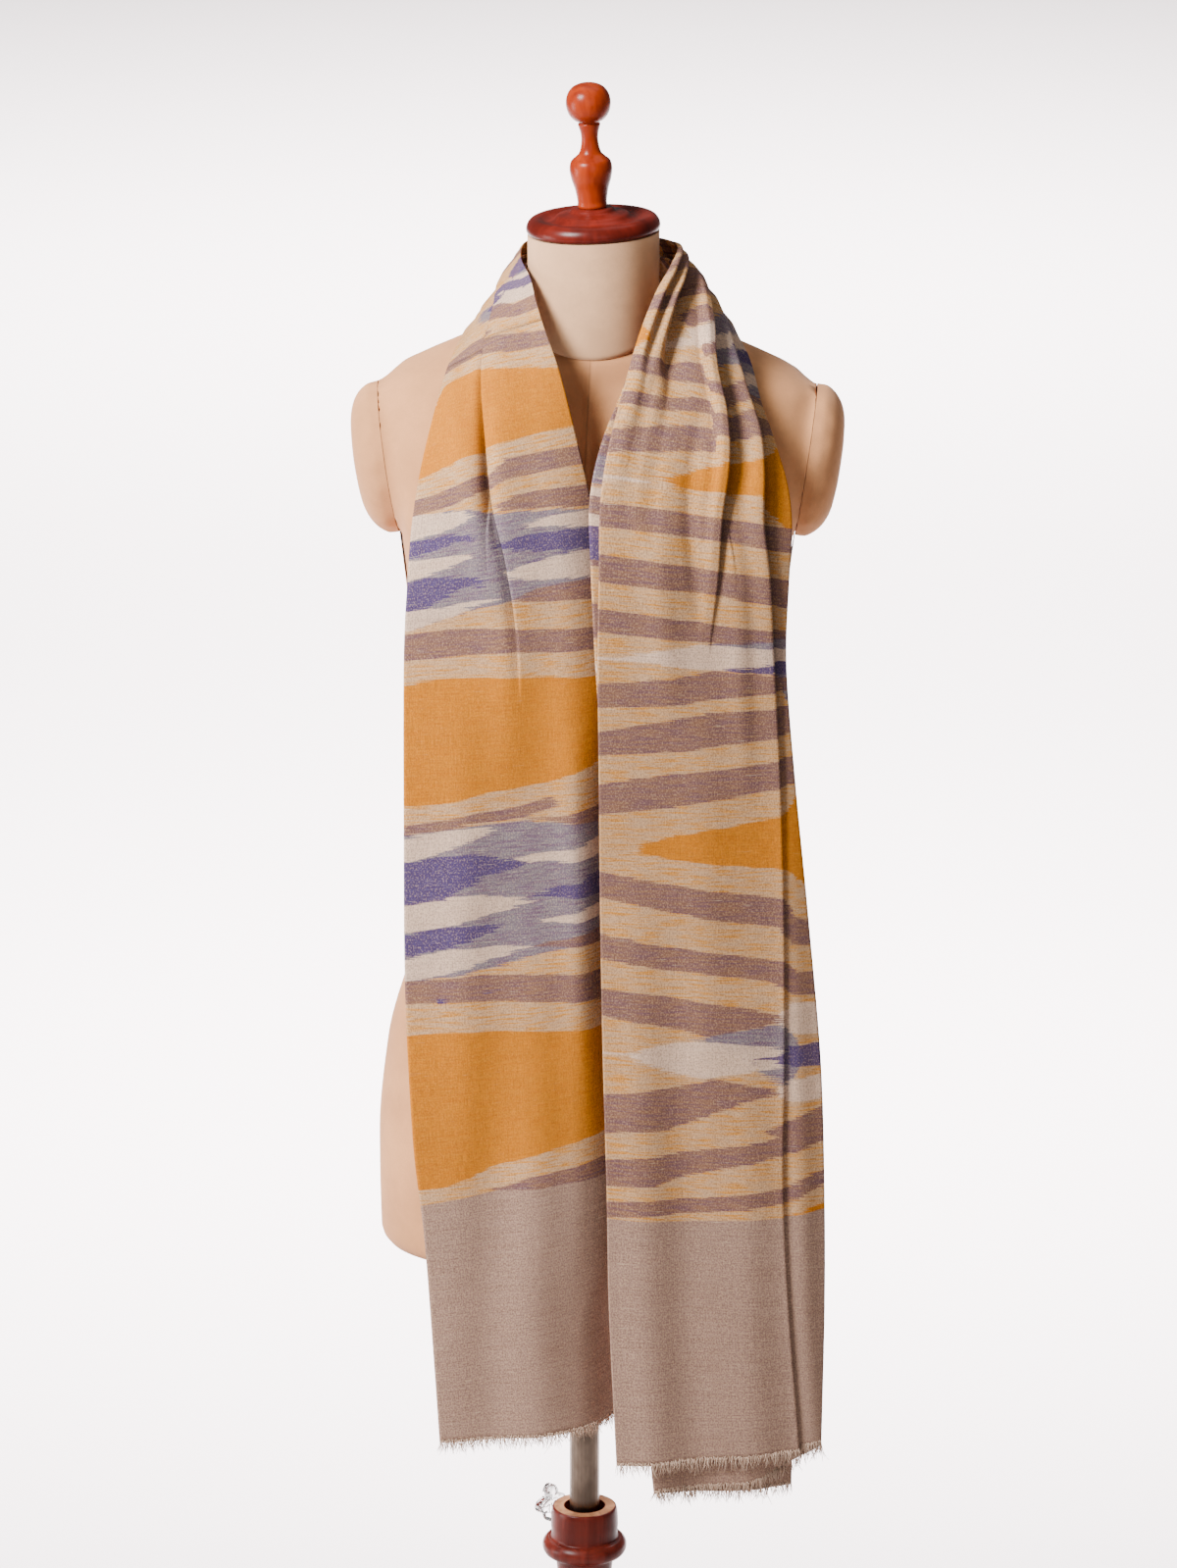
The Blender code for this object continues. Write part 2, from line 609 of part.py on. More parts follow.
# ------------------------------------------------------------------ the clamp knob
def knob_star_ring(depth, shrink):
    """The outline of a star knob with rounded arms, at this depth along its axis."""
    ring = []
    count = KNOB_ARMS * 8
    for k in range(count):
        angle = 2 * math.pi * k / count
        lobe = 0.5 + 0.5 * math.cos(KNOB_ARMS * angle)
        radius = KNOB_RADIUS * blend(0.55, 1.0, lobe ** 0.8) - shrink
        ring.append(Vector((radius * math.cos(angle), radius * math.sin(angle), depth)))
    return ring


def knob_placement():
    """The knob's own Z runs outwards along its screw."""
    outward = Vector((math.cos(KNOB_TURN), math.sin(KNOB_TURN), 0))
    place = Matrix.Translation(outward * KNOB_STANDOFF + Vector((0, 0, KNOB_Z)))
    return place @ outward.to_track_quat("Z", "Y").to_matrix().to_4x4()


# ------------------------------------------------------------------ assembly
def build():
    clear_scene()
    cloth = material("cloth", (0.56, 0.38, 0.22), 0.85)
    fringe_cloth = material("fringe cloth", (0.41, 0.32, 0.27), 0.9)
    suede = material("suede", (0.60, 0.45, 0.36), 0.95)
    neck_suede = material("neck suede", (0.68, 0.56, 0.46), 0.95)
    dark_wood = material("dark wood", (0.19, 0.016, 0.01), 0.18)
    red_wood = material("red wood", (0.42, 0.06, 0.012), 0.15)
    steel = material("steel", (0.46, 0.41, 0.36), 0.3, 1.0)
    clear = material("clear plastic", (0.85, 0.85, 0.86), 0.1)

    form = bpy.data.objects.new("form", None)
    bpy.context.scene.collection.objects.link(form)

    last = len(EDGES) - 1
    cloth_wall("shawl_left_end", 0, LEFT_END_ROW - SEAM_PLACES, cloth, form)
    cloth_wall(
        "shawl_neck_wrap", LEFT_END_ROW + SEAM_PLACES, RIGHT_END_ROW - SEAM_PLACES, cloth, form
    )
    cloth_wall("shawl_right_end", RIGHT_END_ROW + SEAM_PLACES, last, cloth, form)
    fringe("fringe_left_end", 0, fringe_cloth, form)
    fringe("fringe_right_end", last, fringe_cloth, form)

    torso = lofted("torso", [torso_ring(row) for row in TORSO], suede, form)
    for side, name in ((-1, "arm_plate_left"), (1, "arm_plate_right")):
        cut_with(torso, armhole_cutter(name + "_cutter", side))
        arm_plate(name, side, suede, form)
    lofted("neck_block", neck_rings(), neck_suede, form)

    cap = turned("neck_cap", CAP_PROFILE, dark_wood, parent=form)
    cap.location = (NECK_X, 0, NECK_TOP_Z)
    cap.rotation_euler = (0, -CAP_TILT, 0)
    finial = turned("finial", FINIAL_PROFILE, red_wood, parent=form)
    cap_height = CAP_PROFILE[-1][1] + SEAM_GAP
    finial.location = Vector((NECK_X, 0, NECK_TOP_Z)) + Vector((
        -math.sin(CAP_TILT) * cap_height, 0, math.cos(CAP_TILT) * cap_height,
    ))
    finial.rotation_euler = (0, -CAP_TILT, 0)

    flange_profile = (
        (0, 0), (FLANGE_RADIUS - EDGE_BREAK, 0), (FLANGE_RADIUS, EDGE_BREAK),
        (FLANGE_RADIUS, FLANGE_THICK), (0, FLANGE_THICK),
    )
    flange = turned("swivel_flange", flange_profile, steel, parent=form)
    flange.location.z = FORM_BOTTOM_Z - SEAM_GAP - FLANGE_THICK
    pole_length = flange.location.z - SEAM_GAP - POLE_BOTTOM_Z
    pole_profile = ((0, 0), (POLE_RADIUS, 0), (POLE_RADIUS, pole_length), (0, pole_length))
    pole = turned("pole", pole_profile, steel)
    pole.location.z = POLE_BOTTOM_Z
    column = turned("stand_column", COLUMN_PROFILE, dark_wood)
    turned("stand_base", BASE_PROFILE, dark_wood, segments=48)

    placement = knob_placement()
    star = lofted("clamp_knob", [
        knob_star_ring(0.0, KNOB_ROUNDING),
        knob_star_ring(KNOB_ROUNDING, 0),
        knob_star_ring(KNOB_THICK - KNOB_ROUNDING, 0),
        knob_star_ring(KNOB_THICK, KNOB_ROUNDING),
    ], clear)
    star.matrix_world = placement
    screw_start = BORE_RADIUS - KNOB_STANDOFF
    screw_profile = (
        (0, screw_start), (SCREW_RADIUS, screw_start), (SCREW_RADIUS, -SEAM_GAP), (0, -SEAM_GAP),
    )
    screw = turned("knob_screw", screw_profile, steel, segments=16)
    screw.matrix_world = placement
    hole_profile = (
        (0, screw_start - 0.01), (SCREW_RADIUS + SEAM_GAP, screw_start - 0.01),
        (SCREW_RADIUS + SEAM_GAP, 0.01), (0, 0.01),
    )
    hole = turned("screw_hole_cutter", hole_profile, steel, segments=16)
    hole.matrix_world = placement
    hole.hide_render = True
    hole.display_type = "WIRE"
    cut_with(column, hole)


build()
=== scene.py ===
"""How the shawl on its dress form looks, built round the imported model.

The shawl's surface is that of its solids, finer, with soft folds that all its layers share. Its
stripes are bands in a chart: each runs across the cloth, and its edges feather along the weft, as
dyed yarns do. Metres, +Z up, front towards -Y.
"""

import math
import random

import bpy
import numpy as np
from mathutils import Matrix, Vector

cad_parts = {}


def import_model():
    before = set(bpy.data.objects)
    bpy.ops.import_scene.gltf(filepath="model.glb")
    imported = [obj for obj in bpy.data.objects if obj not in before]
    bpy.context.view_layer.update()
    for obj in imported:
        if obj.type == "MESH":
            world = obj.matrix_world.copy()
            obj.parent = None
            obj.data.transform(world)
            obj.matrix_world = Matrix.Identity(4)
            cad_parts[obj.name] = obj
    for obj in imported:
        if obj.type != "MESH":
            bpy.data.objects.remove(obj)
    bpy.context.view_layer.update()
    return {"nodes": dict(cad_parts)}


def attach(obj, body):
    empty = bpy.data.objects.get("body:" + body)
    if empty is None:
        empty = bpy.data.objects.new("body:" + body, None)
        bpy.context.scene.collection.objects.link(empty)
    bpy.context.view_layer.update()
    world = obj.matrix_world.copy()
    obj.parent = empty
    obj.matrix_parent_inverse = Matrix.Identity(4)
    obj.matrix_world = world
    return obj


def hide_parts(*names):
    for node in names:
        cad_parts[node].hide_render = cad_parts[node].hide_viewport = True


random.seed(7)

# ---------- camera
FOCAL_SHARE = 6450 / 1599  # focal length over the picture's height
CAMERA_AT = (0.0032, -4.737, 2.531)
CAMERA_DOWN = math.radians(16.5)
SENSOR_MM = 36.0

# ---------- the shawl
SHELL_THICK = 0.0008
LAYER_STEP = 0.0020
FOLD_REACH = 0.0030
TAIL_SHARE = 0.86
SEAM_PLACES = 0.006  # half a seam between two stretches, in rows of the station table
ACROSS_STEP = 0.0019  # mesh spacing across the front, across the layers behind, and along
BEHIND_STEP = 0.0034
ALONG_STEP = 0.0050
SHORT_SIDE = 0.004  # a side of a section shorter than this gets a step more
BEHIND_FROM = 2.05  # layers above this number lie behind the front
HIDDEN_FROM = 3.15  # and above this one in the fold behind those
TINY = 1e-12
CLOTH_WIDTH = 0.26  # of one layer, for the scale of the weave's streaks

STRAND_EVERY = 0.00055
STRAND_GAPS = (0.55, 1.3)  # shares of that, least and most
STRAND_LENGTH = (0.0060, 0.0125)
STRAND_CLUMPS = (0.25, 260, 71)  # by what share, and two waves along the hem
STRAND_RADIUS = 0.00026
STRAND_THICKER = (0.8, 1.6)
STRAND_TAPER = ((0.0, 1.0), (0.4, 0.9), (0.75, 0.7), (1.0, 0.3))
STRAND_LEAN = (0.18, 0.10)  # spreads across and forwards
STRAND_CURL = (0.20, 0.12)
ROOT_UP = (0.0012, 0.0034)  # a strand starts this far inside the hem, least and most
ROOT_FORWARD = (0.0002, 0.0008)
BACK_SKEW = 0.85  # how much of the front's slant the layers behind repeat
BACK_WAVE = (0.012, 31)  # how far and how fast the stripes behind stray
DEEPEST = 0.03
TIP_REACH = 0.09  # how far across a band's tip runs out
NEAR_EDGES = (0.13, 0.88)  # a band that ends beyond these runs on to the cloth's edge
BESIDE_SHARE = 0.35  # how fast a band fades past its ends
FEATHER = (0.0007, 0.014)  # an edge's least feathering, and more with its steepness
STEEPEST = 0.45
SUDDEN = 1.5  # a steeper edge is a step at a ridge, and isn't feathered more
NEARBY = 0.01  # the steepness is measured over this much to each side
# where the folded tube and the two ridges lie in the stripes' chart
STRIP_ENDS = (0.42, 0.50, 0.80)
TUBE_WIDTH = 0.010  # of the folded tube along the first ridge
STEP_SLOPE = 0.09  # a stripe that shifts faster than this across steps at a ridge
STEP_HALF = 0.001

# which ridge, how far before it the rise starts, over what the rise and the drop take place, how
# deep the hollow beyond it is as a share of the lift, and (metres along, millimetres high)
RIDGE_LIFTS = (
    (0, 0.04, 0.036, 0.003, 1, (
        (0.6, 0), (0.68, 3), (0.76, 6.5), (0.86, 6.5), (0.91, 2), (0.96, 0),
    )),
    (0, 0.012, 0.006, 0.004, 0.8, (
        (1.22, 0), (1.25, 5), (1.29, 8), (1.38, 7.5), (1.43, 4), (1.48, 1.5), (1.54, 0),
    )),
    (1, 0.02, 0.018, 0.004, 0.8, (
        (1.22, 0), (1.26, 4), (1.31, 7), (1.4, 7), (1.48, 4), (1.6, 1), (1.7, 0),
    )),
)
UNDER_SHIFT = 0.003  # what lies under a ridge drops this much before it
HOLLOW_OUT = 0.0022  # of the hollow's deepest line beyond the ridge, and its reach
HOLLOW_REACH = 0.0042
# the darkness of the gaps under the ridges is painted shade, multiplied into the cloth's colour
CREASE_REACH = 0.0034  # how far out of the gap under a ridge its darkness reaches, and in
CREASE_IN = 0.0080
CREASE_FULL = 0.003  # the lift from which it is full
# the left end's inner margin: metres along, millimetres back, over how many millimetres
EDGE_DROOP = (
    (0, 22, 36), (0.07, 17, 32), (0.12, 6.8, 22), (0.2, 6.8, 22), (0.28, 13, 28),
    (0.36, 20, 34), (0.5, 24, 36), (0.6, 13, 30), (0.66, 15, 32), (0.72, 13, 32),
    (0.8, 7, 40), (0.9, 0, 40),
)

# soft folds: (metres across, metres along) at one end and at the other, reach across, height
SOFT_FOLDS = (
    ((0.084, 0.52), (0.078, 0.7), 0.015, 0.003),
    ((0.038, 0.45), (0.034, 0.74), 0.012, 0.0022),
    ((0.118, 0.2), (0.116, 0.62), 0.018, 0.003),
    ((0.06, -0.15), (0.062, 0.45), 0.022, 0.0048),
    ((0.102, -0.15), (0.1, 0.34), 0.02, -0.0036),
    ((0.084, 0.7), (0.06, 0.83), 0.007, -0.0045),
    ((0.032, 0.06), (0.03, 0.58), 0.014, 0.0042),
    ((0.09, 0.66), (0.082, 0.92), 0.01, 0.003),
    # the rolls and the hollow beside the neck
    ((0.003, 1.19), (0.004, 1.34), 0.004, 0.004),
    ((0.006, 1.21), (0.01, 1.34), 0.003, -0.003),
    ((0.011, 1.2), (0.018, 1.36), 0.004, 0.005),
    ((0.017, 1.215), (0.028, 1.34), 0.005, -0.009),
    ((0.024, 1.29), (0.042, 1.47), 0.009, -0.004),
    ((0.034, 1.33), (0.056, 1.6), 0.013, 0.003),
    ((0.06, 1.34), (0.078, 1.52), 0.007, -0.003),
    ((0.108, 1.4), (0.112, 1.66), 0.01, 0.0024),
    ((0.082, 1.56), (0.08, 1.96), 0.02, 0.0022),
    ((0.028, 1.7), (0.03, 2.5), 0.018, 0.0036),
    ((0.062, 1.74), (0.064, 2.5), 0.02, -0.0034),
    ((0.112, 1.8), (0.11, 2.5), 0.016, 0.0026),
    ((0.028, 1.03), (0.03, 1.16), 0.024, -0.006),
    ((0.146, 1.5), (0.17, 2.9), 0.012, 0.0045),
)

# ---------- colours


def srgb(red, green, blue):
    return tuple(
        (c / 12.92 if c <= 0.04045 else ((c + 0.055) / 1.055) ** 2.4)
        for c in (red / 255, green / 255, blue / 255)
    )


BEIGE = srgb(190, 150, 112)
BEIGE_WARM = srgb(194, 128, 50)
WARP_PALE = srgb(202, 168, 124)
WARP_DARK = srgb(86, 62, 56)
SLUB_PALE = srgb(230, 206, 170)
# each dye's two tones, how far it covers the yarn, and how far its edges feather
DYES = {
    "mustard": (srgb(188, 112, 0), srgb(182, 104, 0), 0.98, 0.8),
    "greige": (srgb(155, 125, 109), srgb(143, 113, 98), 1.0, 0.35),
    "greyblue": (srgb(112, 108, 118), srgb(84, 74, 106), 0.9, 2.0),
    "ivory": (srgb(214, 182, 158), srgb(200, 168, 146), 0.92, 1.3),
    "taupe": (srgb(126, 88, 70), srgb(96, 70, 84), 0.92, 1.0),
    "indigo": (srgb(60, 47, 96), srgb(74, 62, 104), 0.94, 1.3),
}
STREAK_SPREAD = (2.6, -1.3)  # makes a noise run from about -1 to 1
DYE_EDGE = 0.0005
NAP = (0.35, 0.0006)  # strength and depth of a fabric's relief
SUEDE = (204, 143, 97)
NECK_SUEDE = (220, 171, 130)
SEAM_LINE = (-0.0737, 0.053)  # x at the ground and its slope up the centre front
SEAM_DARK = (0.0002, 0.0011)  # from and to, away from the seam
SEAM_PUFF = (0.0004, 0.0050)

WORLD_COLOUR = (1.0, 0.995, 0.99)
WORLD_POWER = 0.15
FLOOR_CORNERS = ((-14, -9, -0.001), (14, -9, -0.001), (14, 18, -0.001), (-14, 18, -0.001))
FLOOR_BLEND = (0.4, 1.2)  # from grey to white this far behind
# name, where, towards what, width and height, power
LIGHTS = (
    ("key", (-1.95, -1.75, 3.4), (0, 0, 1.3), (1.1, 1.1), 370),
    ("fill", (0.8, -4.2, 2.3), (0, 0, 1.2), (2.0, 2.0), 18),
    ("side", (-3.0, -0.3, 0.9), (0, 0, 1.0), (1.0, 1.5), 60),
    ("top", (0.2, 0.6, 4.2), (0, 0, 1.2), (2.6, 2.0), 20),
    # these two light the floor behind, and face away from the form
    ("floor near", (0, 2.0, 3.2), (0, 5.5, 0), (2.4, 1.2), 1400),
    ("floor far", (0, 6.5, 3.6), (0, 10.5, 0), (3.0, 1.6), 1400),
)

# ---------- the shawl's stations

# inner edge x, y, z; outer edge x, y, z (metres); bulge of the middle outwards (millimetres)
EDGES = (
    # left end, from its hem upwards
    (0.0275, -0.112, 0.638, -0.113, -0.13, 0.628, 9),
    (0.023, -0.113, 0.735, -0.118, -0.131, 0.712, 9),
    (0.026, -0.116, 0.821, -0.124, -0.132, 0.802, 8),
    (0.027, -0.12, 0.9, -0.132, -0.133, 0.88, 6),
    (0.026, -0.124, 1.014, -0.137, -0.133, 1.003, 5),
    (0.025, -0.128, 1.15, -0.137, -0.133, 1.138, 4),
    (0.022, -0.13, 1.275, -0.136, -0.13, 1.263, 4),
    (0.013, -0.129, 1.347, -0.133, -0.124, 1.324, 5),
    (0.002, -0.122, 1.395, -0.13, -0.114, 1.366, 6),
    (-0.01, -0.107, 1.443, -0.124, -0.097, 1.406, 6),
    (-0.021, -0.088, 1.482, -0.114, -0.072, 1.447, 4),
    # over the left shoulder and round the back of the neck
    (-0.033, -0.066, 1.513, -0.106, -0.04, 1.47, 3),
    (-0.0405, -0.036, 1.537, -0.099, -0.006, 1.484, 2),
    (-0.0485, 0.002, 1.547, -0.094, 0.037, 1.49, 0),
    (-0.043, 0.042, 1.551, -0.078, 0.085, 1.484, 0),
    (-0.018, 0.062, 1.549, -0.04, 0.112, 1.463, 0),
    (0.008, 0.067, 1.548, 0.012, 0.121, 1.452, 0),
    (0.034, 0.062, 1.549, 0.063, 0.112, 1.463, 0),
    (0.06, 0.044, 1.552, 0.101, 0.084, 1.485, 0),
    # over the right shoulder and down to the right end's hem
    (0.07, 0.006, 1.553, 0.117, 0.034, 1.496, 1),
    (0.064, -0.03, 1.545, 0.124, -0.002, 1.49, 2),
    (0.053, -0.054, 1.53, 0.132, -0.026, 1.474, 3),
    (0.041, -0.076, 1.503, 0.138, -0.052, 1.45, 5),
    (0.03, -0.098, 1.468, 0.147, -0.076, 1.424, 6),
    (0.019, -0.122, 1.431, 0.156, -0.094, 1.394, 6),
    (0.012, -0.14, 1.39, 0.159, -0.105, 1.362, 5),
    (0.011, -0.15, 1.34, 0.156, -0.112, 1.318, 5),
    (0.01, -0.153, 1.27, 0.154, -0.117, 1.255, 4),
    (0.011, -0.153, 1.172, 0.161, -0.12, 1.165, 4),
    (0.012, -0.152, 1.07, 0.172, -0.121, 1.058, 4),
    (0.014, -0.152, 0.955, 0.183, -0.121, 0.94, 5),
    (0.017, -0.151, 0.848, 0.187, -0.121, 0.832, 5),
    (0.019, -0.15, 0.745, 0.188, -0.121, 0.733, 6),
    (0.025, -0.148, 0.616, 0.186, -0.121, 0.6195, 7),
)
LEFT_END_ROW = 11
RIGHT_END_ROW = 20

# Millimetres, but open: ridge 1, under 1, open 1, ridge 2, under 2, open 2, back, roll
FOLDS = (
    (60, -16, 0, 104, -14, 0, 4, 0),
    (62, -16, 0, 108, -14, 0, 3, 0),
    (66, -16, 0, 114, -14, 0, 2, 0),
    (70, -16, 0, 120, -14, 0, 2, 0),
    (72, -16, 0, 124, -14, 0, 2, 0),
    (72, -16, 0, 124, -14, 0, 2, 0),
    (72, -16, 0, 122, -14, 0, 2, 0),
    (72, -14, 0.10, 112, -14, 0, 3, 0),
    (72, -4, 0.75, 103, -12, 0, 4, 0),
    (66, 8, 1, 94, -10, 0, 6, 0),
    (58, 12, 1, 82, -9, 0, 8, 0),
    (47, 14, 1, 70, -8, 0, 9, 0),
    (38, 14, 1, 62, -8, 0, 10, 0),
    (31, 13, 1, 58, -5, 0.80, 10, 0),
    (28, 14, 1, 60, 7, 1, 10, 1),
    (32, 15, 1, 70, 15, 1, 9, 2),
    (34, 15, 1, 76, 16, 1, 9, 2),
    (32, 15, 1, 72, 16, 1, 9, 2),
    (28, 13, 1, 60, 14, 1, 9, 1.5),
    (29, 11, 1, 52, 12, 1, 10, 2),
    (38, 11, 1, 59, 12, 1, 10, 3.5),
    (51, 12, 1, 74, 13, 1, 9, 5),
    (63, 13, 1, 92, 15, 1, 6, 6),
    (80, 12, 1, 110, 16, 1, 2, 5),
    (92, 6, 1, 122, 17, 1, -3, 3),
    (94, -4, 0.80, 128, 17, 1, -5, 1),
    (92, -14, 0.10, 134, 16, 1, -4, 0),
    (86, -16, 0, 138, 15, 1, 0, 0),
    (84, -16, 0, 141, 14, 1, 5, 0),
    (84, -16, 0, 143, 14, 1, 8, 0),
    (84, -16, 0, 142, 14, 1, 10, 0),
    (84, -16, 0, 139, 14, 1, 14, 0),
    (86, -16, 0, 142, 14, 1, 22, 0),
    (88, -16, 0, 145, 14, 1, 30, 0),
)
# two rolls and a hollow on the first layer: share of the way to the first ridge, height
ROLL_SHAPE = ((0.10, 1.0), (0.22, -0.35), (0.34, 0.85), (0.48, -0.95), (0.75, 0.10))

# How far each layer's hem hangs below the station's line, front layer to hidden layer, in metres
LEFT_HEMS = (0.000, 0.000, 0.000, -0.004, -0.010)
RIGHT_HEMS = (0.000, 0.000, -0.004, 0.025, 0.030)
HEM_REACH = 0.14  # over this much length a layer's own hem drop builds up


# ---------- the stripes
# A line is a dye, then spots of across, from and to: across in hundredths of the way from the inner
# edge to the outer fold, from and to in millimetres along the shawl from the left hem. The dyes lie
# over one another in the order of DYES. Most lines of BANDS were projected on to the cloth by a
# separate program, from picture positions read by eye.
def read_chart(text):
    lines = (line.split(None, 1) for line in text.splitlines() if line and line[0] != "#")
    return [
        (dye, [tuple(map(int, spot.split())) for spot in spots.split(",")]) for dye, spots in lines
    ]


BANDS = read_chart("""
# left end
greige 7 -100 212, 63 -100 209, 101 -100 203
taupe 8 207 222, 31 207 219, 51 207 217, 70 209 210
mustard 9 243 331, 38 237 335, 68 229 339, 89 217 340, 102 216 339
taupe 9 354 378, 47 360 382, 71 364 385, 86 364 383, 100 364 382
indigo 35 374 374, 52 372 374, 74 368 369, 88 364 366
greyblue 9 406 498, 23 402 501, 46 397 505, 65 390 505, 86 383 503, 100 380 501
ivory 52 402 406, 63 398 407, 74 391 407, 86 386 406, 99 382 399
taupe 9 401 413, 21 401 410, 35 403 407
indigo 60 421 425, 73 413 426, 86 406 424, 99 403 420
ivory 49 440 444, 59 435 446, 70 431 449, 86 424 449, 99 421 443
ivory 9 422 433, 23 421 428, 37 422 426
indigo 10 439 458, 20 440 453, 36 443 449
indigo 54 468 475, 65 465 479, 75 457 482, 85 447 482, 99 444 478
indigo 49 456 457, 59 456 457
ivory 10 471 485, 23 469 480, 35 472 479, 46 472 478
ivory 61 501 503, 72 494 503, 85 485 502, 100 476 497
taupe 9 497 511, 28 501 507, 40 502 505
taupe 35 513 522, 56 507 516, 71 506 514, 85 502 510, 93 501 509, 100 499 506
mustard 9 545 614, 34 535 617, 64 530 620, 85 523 621, 100 523 617
taupe 8 634 651, 62 639 658, 81 638 660, 100 636 658
greyblue 3 685 736, 30 683 741, 51 677 745, 69 675 750, 85 669 754, 101 660 755
ivory 61 678 681, 71 675 681, 85 668 678, 99 660 677
taupe 6 671 687, 22 674 687, 35 675 685, 51 676 679
indigo 60 696 698, 71 693 700, 81 690 701, 90 679 703, 99 677 702
ivory 4 687 706, 23 690 707, 38 692 704, 52 696 700
indigo 54 690 691, 70 691 693
ivory 73 714 718, 86 708 718, 100 702 719
indigo 27 705 706, 36 704 705
indigo 3 707 722, 25 711 725, 37 714 725, 49 716 722
indigo 56 726 728, 79 728 734, 90 723 734, 101 720 735
ivory 4 723 735, 23 728 735, 35 731 735
ivory 71 742 750, 86 737 753, 100 734 755
taupe 5 738 753, 25 742 755, 35 743 754, 46 745 751
taupe 56 763 776, 74 758 772, 87 756 770, 100 755 768
taupe 4 767 780, 22 767 781, 38 766 781, 50 763 772
mustard 53 793 863, 76 791 861, 95 787 858, 102 785 836
mustard 1 795 842, 28 794 848, 50 793 852
taupe 0 860 872, 28 861 876, 50 865 880
taupe 54 877 893, 80 875 894, 96 872 886
taupe -1 890 902, 25 890 902, 50 897 914
ivory -3 901 929, 28 904 935, 53 913 928
greyblue 0 903 942, 29 905 927, 49 906 926, 73 915 933
indigo 47 914 926, 59 919 929
indigo 10 914 924, 28 919 932, 42 925 935
indigo -3 933 959, 24 935 948
# round the neck, mostly out of sight
taupe 0 966 979, 50 968 984, 100 974 986
greyblue 30 990 999, 70 988 1008, 100 986 1012
ivory 40 1000 1004, 100 998 1014
mustard 0 1020 1058, 60 1026 1052, 100 1030 1044
taupe 0 1072 1086, 50 1068 1084, 100 1066 1080
taupe 0 1104 1116, 50 1100 1118, 100 1102 1114
ivory 20 1130 1138, 60 1126 1142, 100 1124 1146
indigo 45 1136 1139, 100 1130 1142
taupe 0 1158 1170, 50 1160 1176, 100 1164 1176
taupe 0 1188 1200, 50 1192 1206, 100 1196 1210
taupe 0 1220 1232, 50 1222 1236, 100 1226 1238
# right end
taupe -3 1256 1270, 4 1237 1256, 31 1207 1239
taupe 21 1268 1288, 30 1245 1264, 53 1213 1259
greyblue 51 1275 1312, 80 1256 1303, 88 1223 1326, 99 1248 1317
ivory 84 1271 1283, 100 1252 1271
taupe 34 1277 1292, 45 1269 1285
indigo 84 1283 1292, 98 1272 1286
ivory 53 1288 1299, 81 1275 1287
taupe -3 1286 1300, 13 1276 1289
ivory 39 1290 1307, 49 1283 1301
ivory 83 1305 1314, 97 1295 1306
taupe -1 1332 1343, 15 1328 1341, 38 1319 1335, 45 1303 1314, 50 1297 1309
ivory 21 1308 1315, 32 1301 1309
mustard -2 1307 1328
taupe -1 1358 1367, 17 1354 1364, 37 1346 1357, 45 1332 1342, 54 1331 1345, 80 1314 1330, \
90 1316 1323
taupe 0 1385 1401, 21 1374 1394, 36 1368 1387, 49 1356 1374, 79 1339 1362, 94 1336 1351
mustard 15 1415 1416, 26 1410 1416, 37 1401 1417, 48 1393 1416, 77 1383 1413, 98 1363 1440
ivory 0 1416 1421, 10 1415 1418
taupe 0 1434 1451, 25 1434 1451, 45 1435 1452, 92 1436 1456
taupe 0 1470 1490, 29 1473 1492, 48 1475 1493, 95 1478 1501
taupe 1 1510 1527, 30 1513 1529, 57 1517 1531, 91 1519 1526
greyblue 58 1528 1534, 71 1526 1537, 101 1523 1581
ivory 8 1544 1547, 26 1538 1548, 44 1532 1552, 65 1533 1551, 92 1534 1544
indigo 62 1549 1552, 92 1544 1555
taupe 1 1565 1583, 32 1559 1580, 52 1552 1575, 70 1554 1571, 92 1557 1568
taupe 0 1601 1619, 32 1591 1616, 52 1585 1612, 70 1583 1608, 96 1580 1603
taupe 0 1641 1665, 31 1633 1660, 58 1630 1653, 91 1622 1644
mustard 13 1692 1694, 31 1683 1701, 52 1677 1705, 66 1673 1707, 86 1667 1711, 102 1649 1724
taupe 0 1712 1733, 25 1720 1742, 49 1726 1749, 80 1732 1755
taupe 86 1747 1768, 97 1750 1770
taupe 0 1763 1783, 25 1771 1790, 49 1775 1793, 80 1782 1799
taupe 85 1791 1809, 100 1793 1810
taupe -1 1807 1829, 25 1811 1836, 48 1816 1843, 65 1820 1837, 80 1826 1830
ivory 84 1815 1841, 101 1816 1841
greyblue 45 1844 1849, 61 1837 1858, 82 1830 1887
ivory 11 1859 1862, 29 1850 1873, 45 1847 1878, 61 1849 1873, 77 1852 1868
indigo 76 1859 1863, 84 1851 1867, 102 1847 1867
ivory 84 1878 1896, 101 1874 1893
taupe -1 1894 1926, 28 1887 1921, 50 1877 1906, 65 1882 1895, 79 1885 1889
taupe 81 1912 1928, 101 1899 1924
taupe -1 1948 1969, 19 1944 1968, 36 1938 1958, 64 1931 1947, 83 1922 1938, 101 1908 1927
taupe -1 1982 1995, 36 1977 1989, 64 1972 1984, 83 1965 1978, 100 1950 1964
mustard 64 1993 1994, 82 1989 1993, 100 1979 1985
greige -2 1996 2194, 32 1996 2194, 78 1991 2194, 101 1984 2194
""")
# the same for the layers behind, where across runs on from 100 at the outer fold to 200 at the
# inner one
BACK_BANDS = read_chart("""
greyblue 170 1385 1420, 240 1388 1424
ivory 170 1424 1452, 240 1424 1450
indigo 170 1452 1474, 240 1450 1478
""")

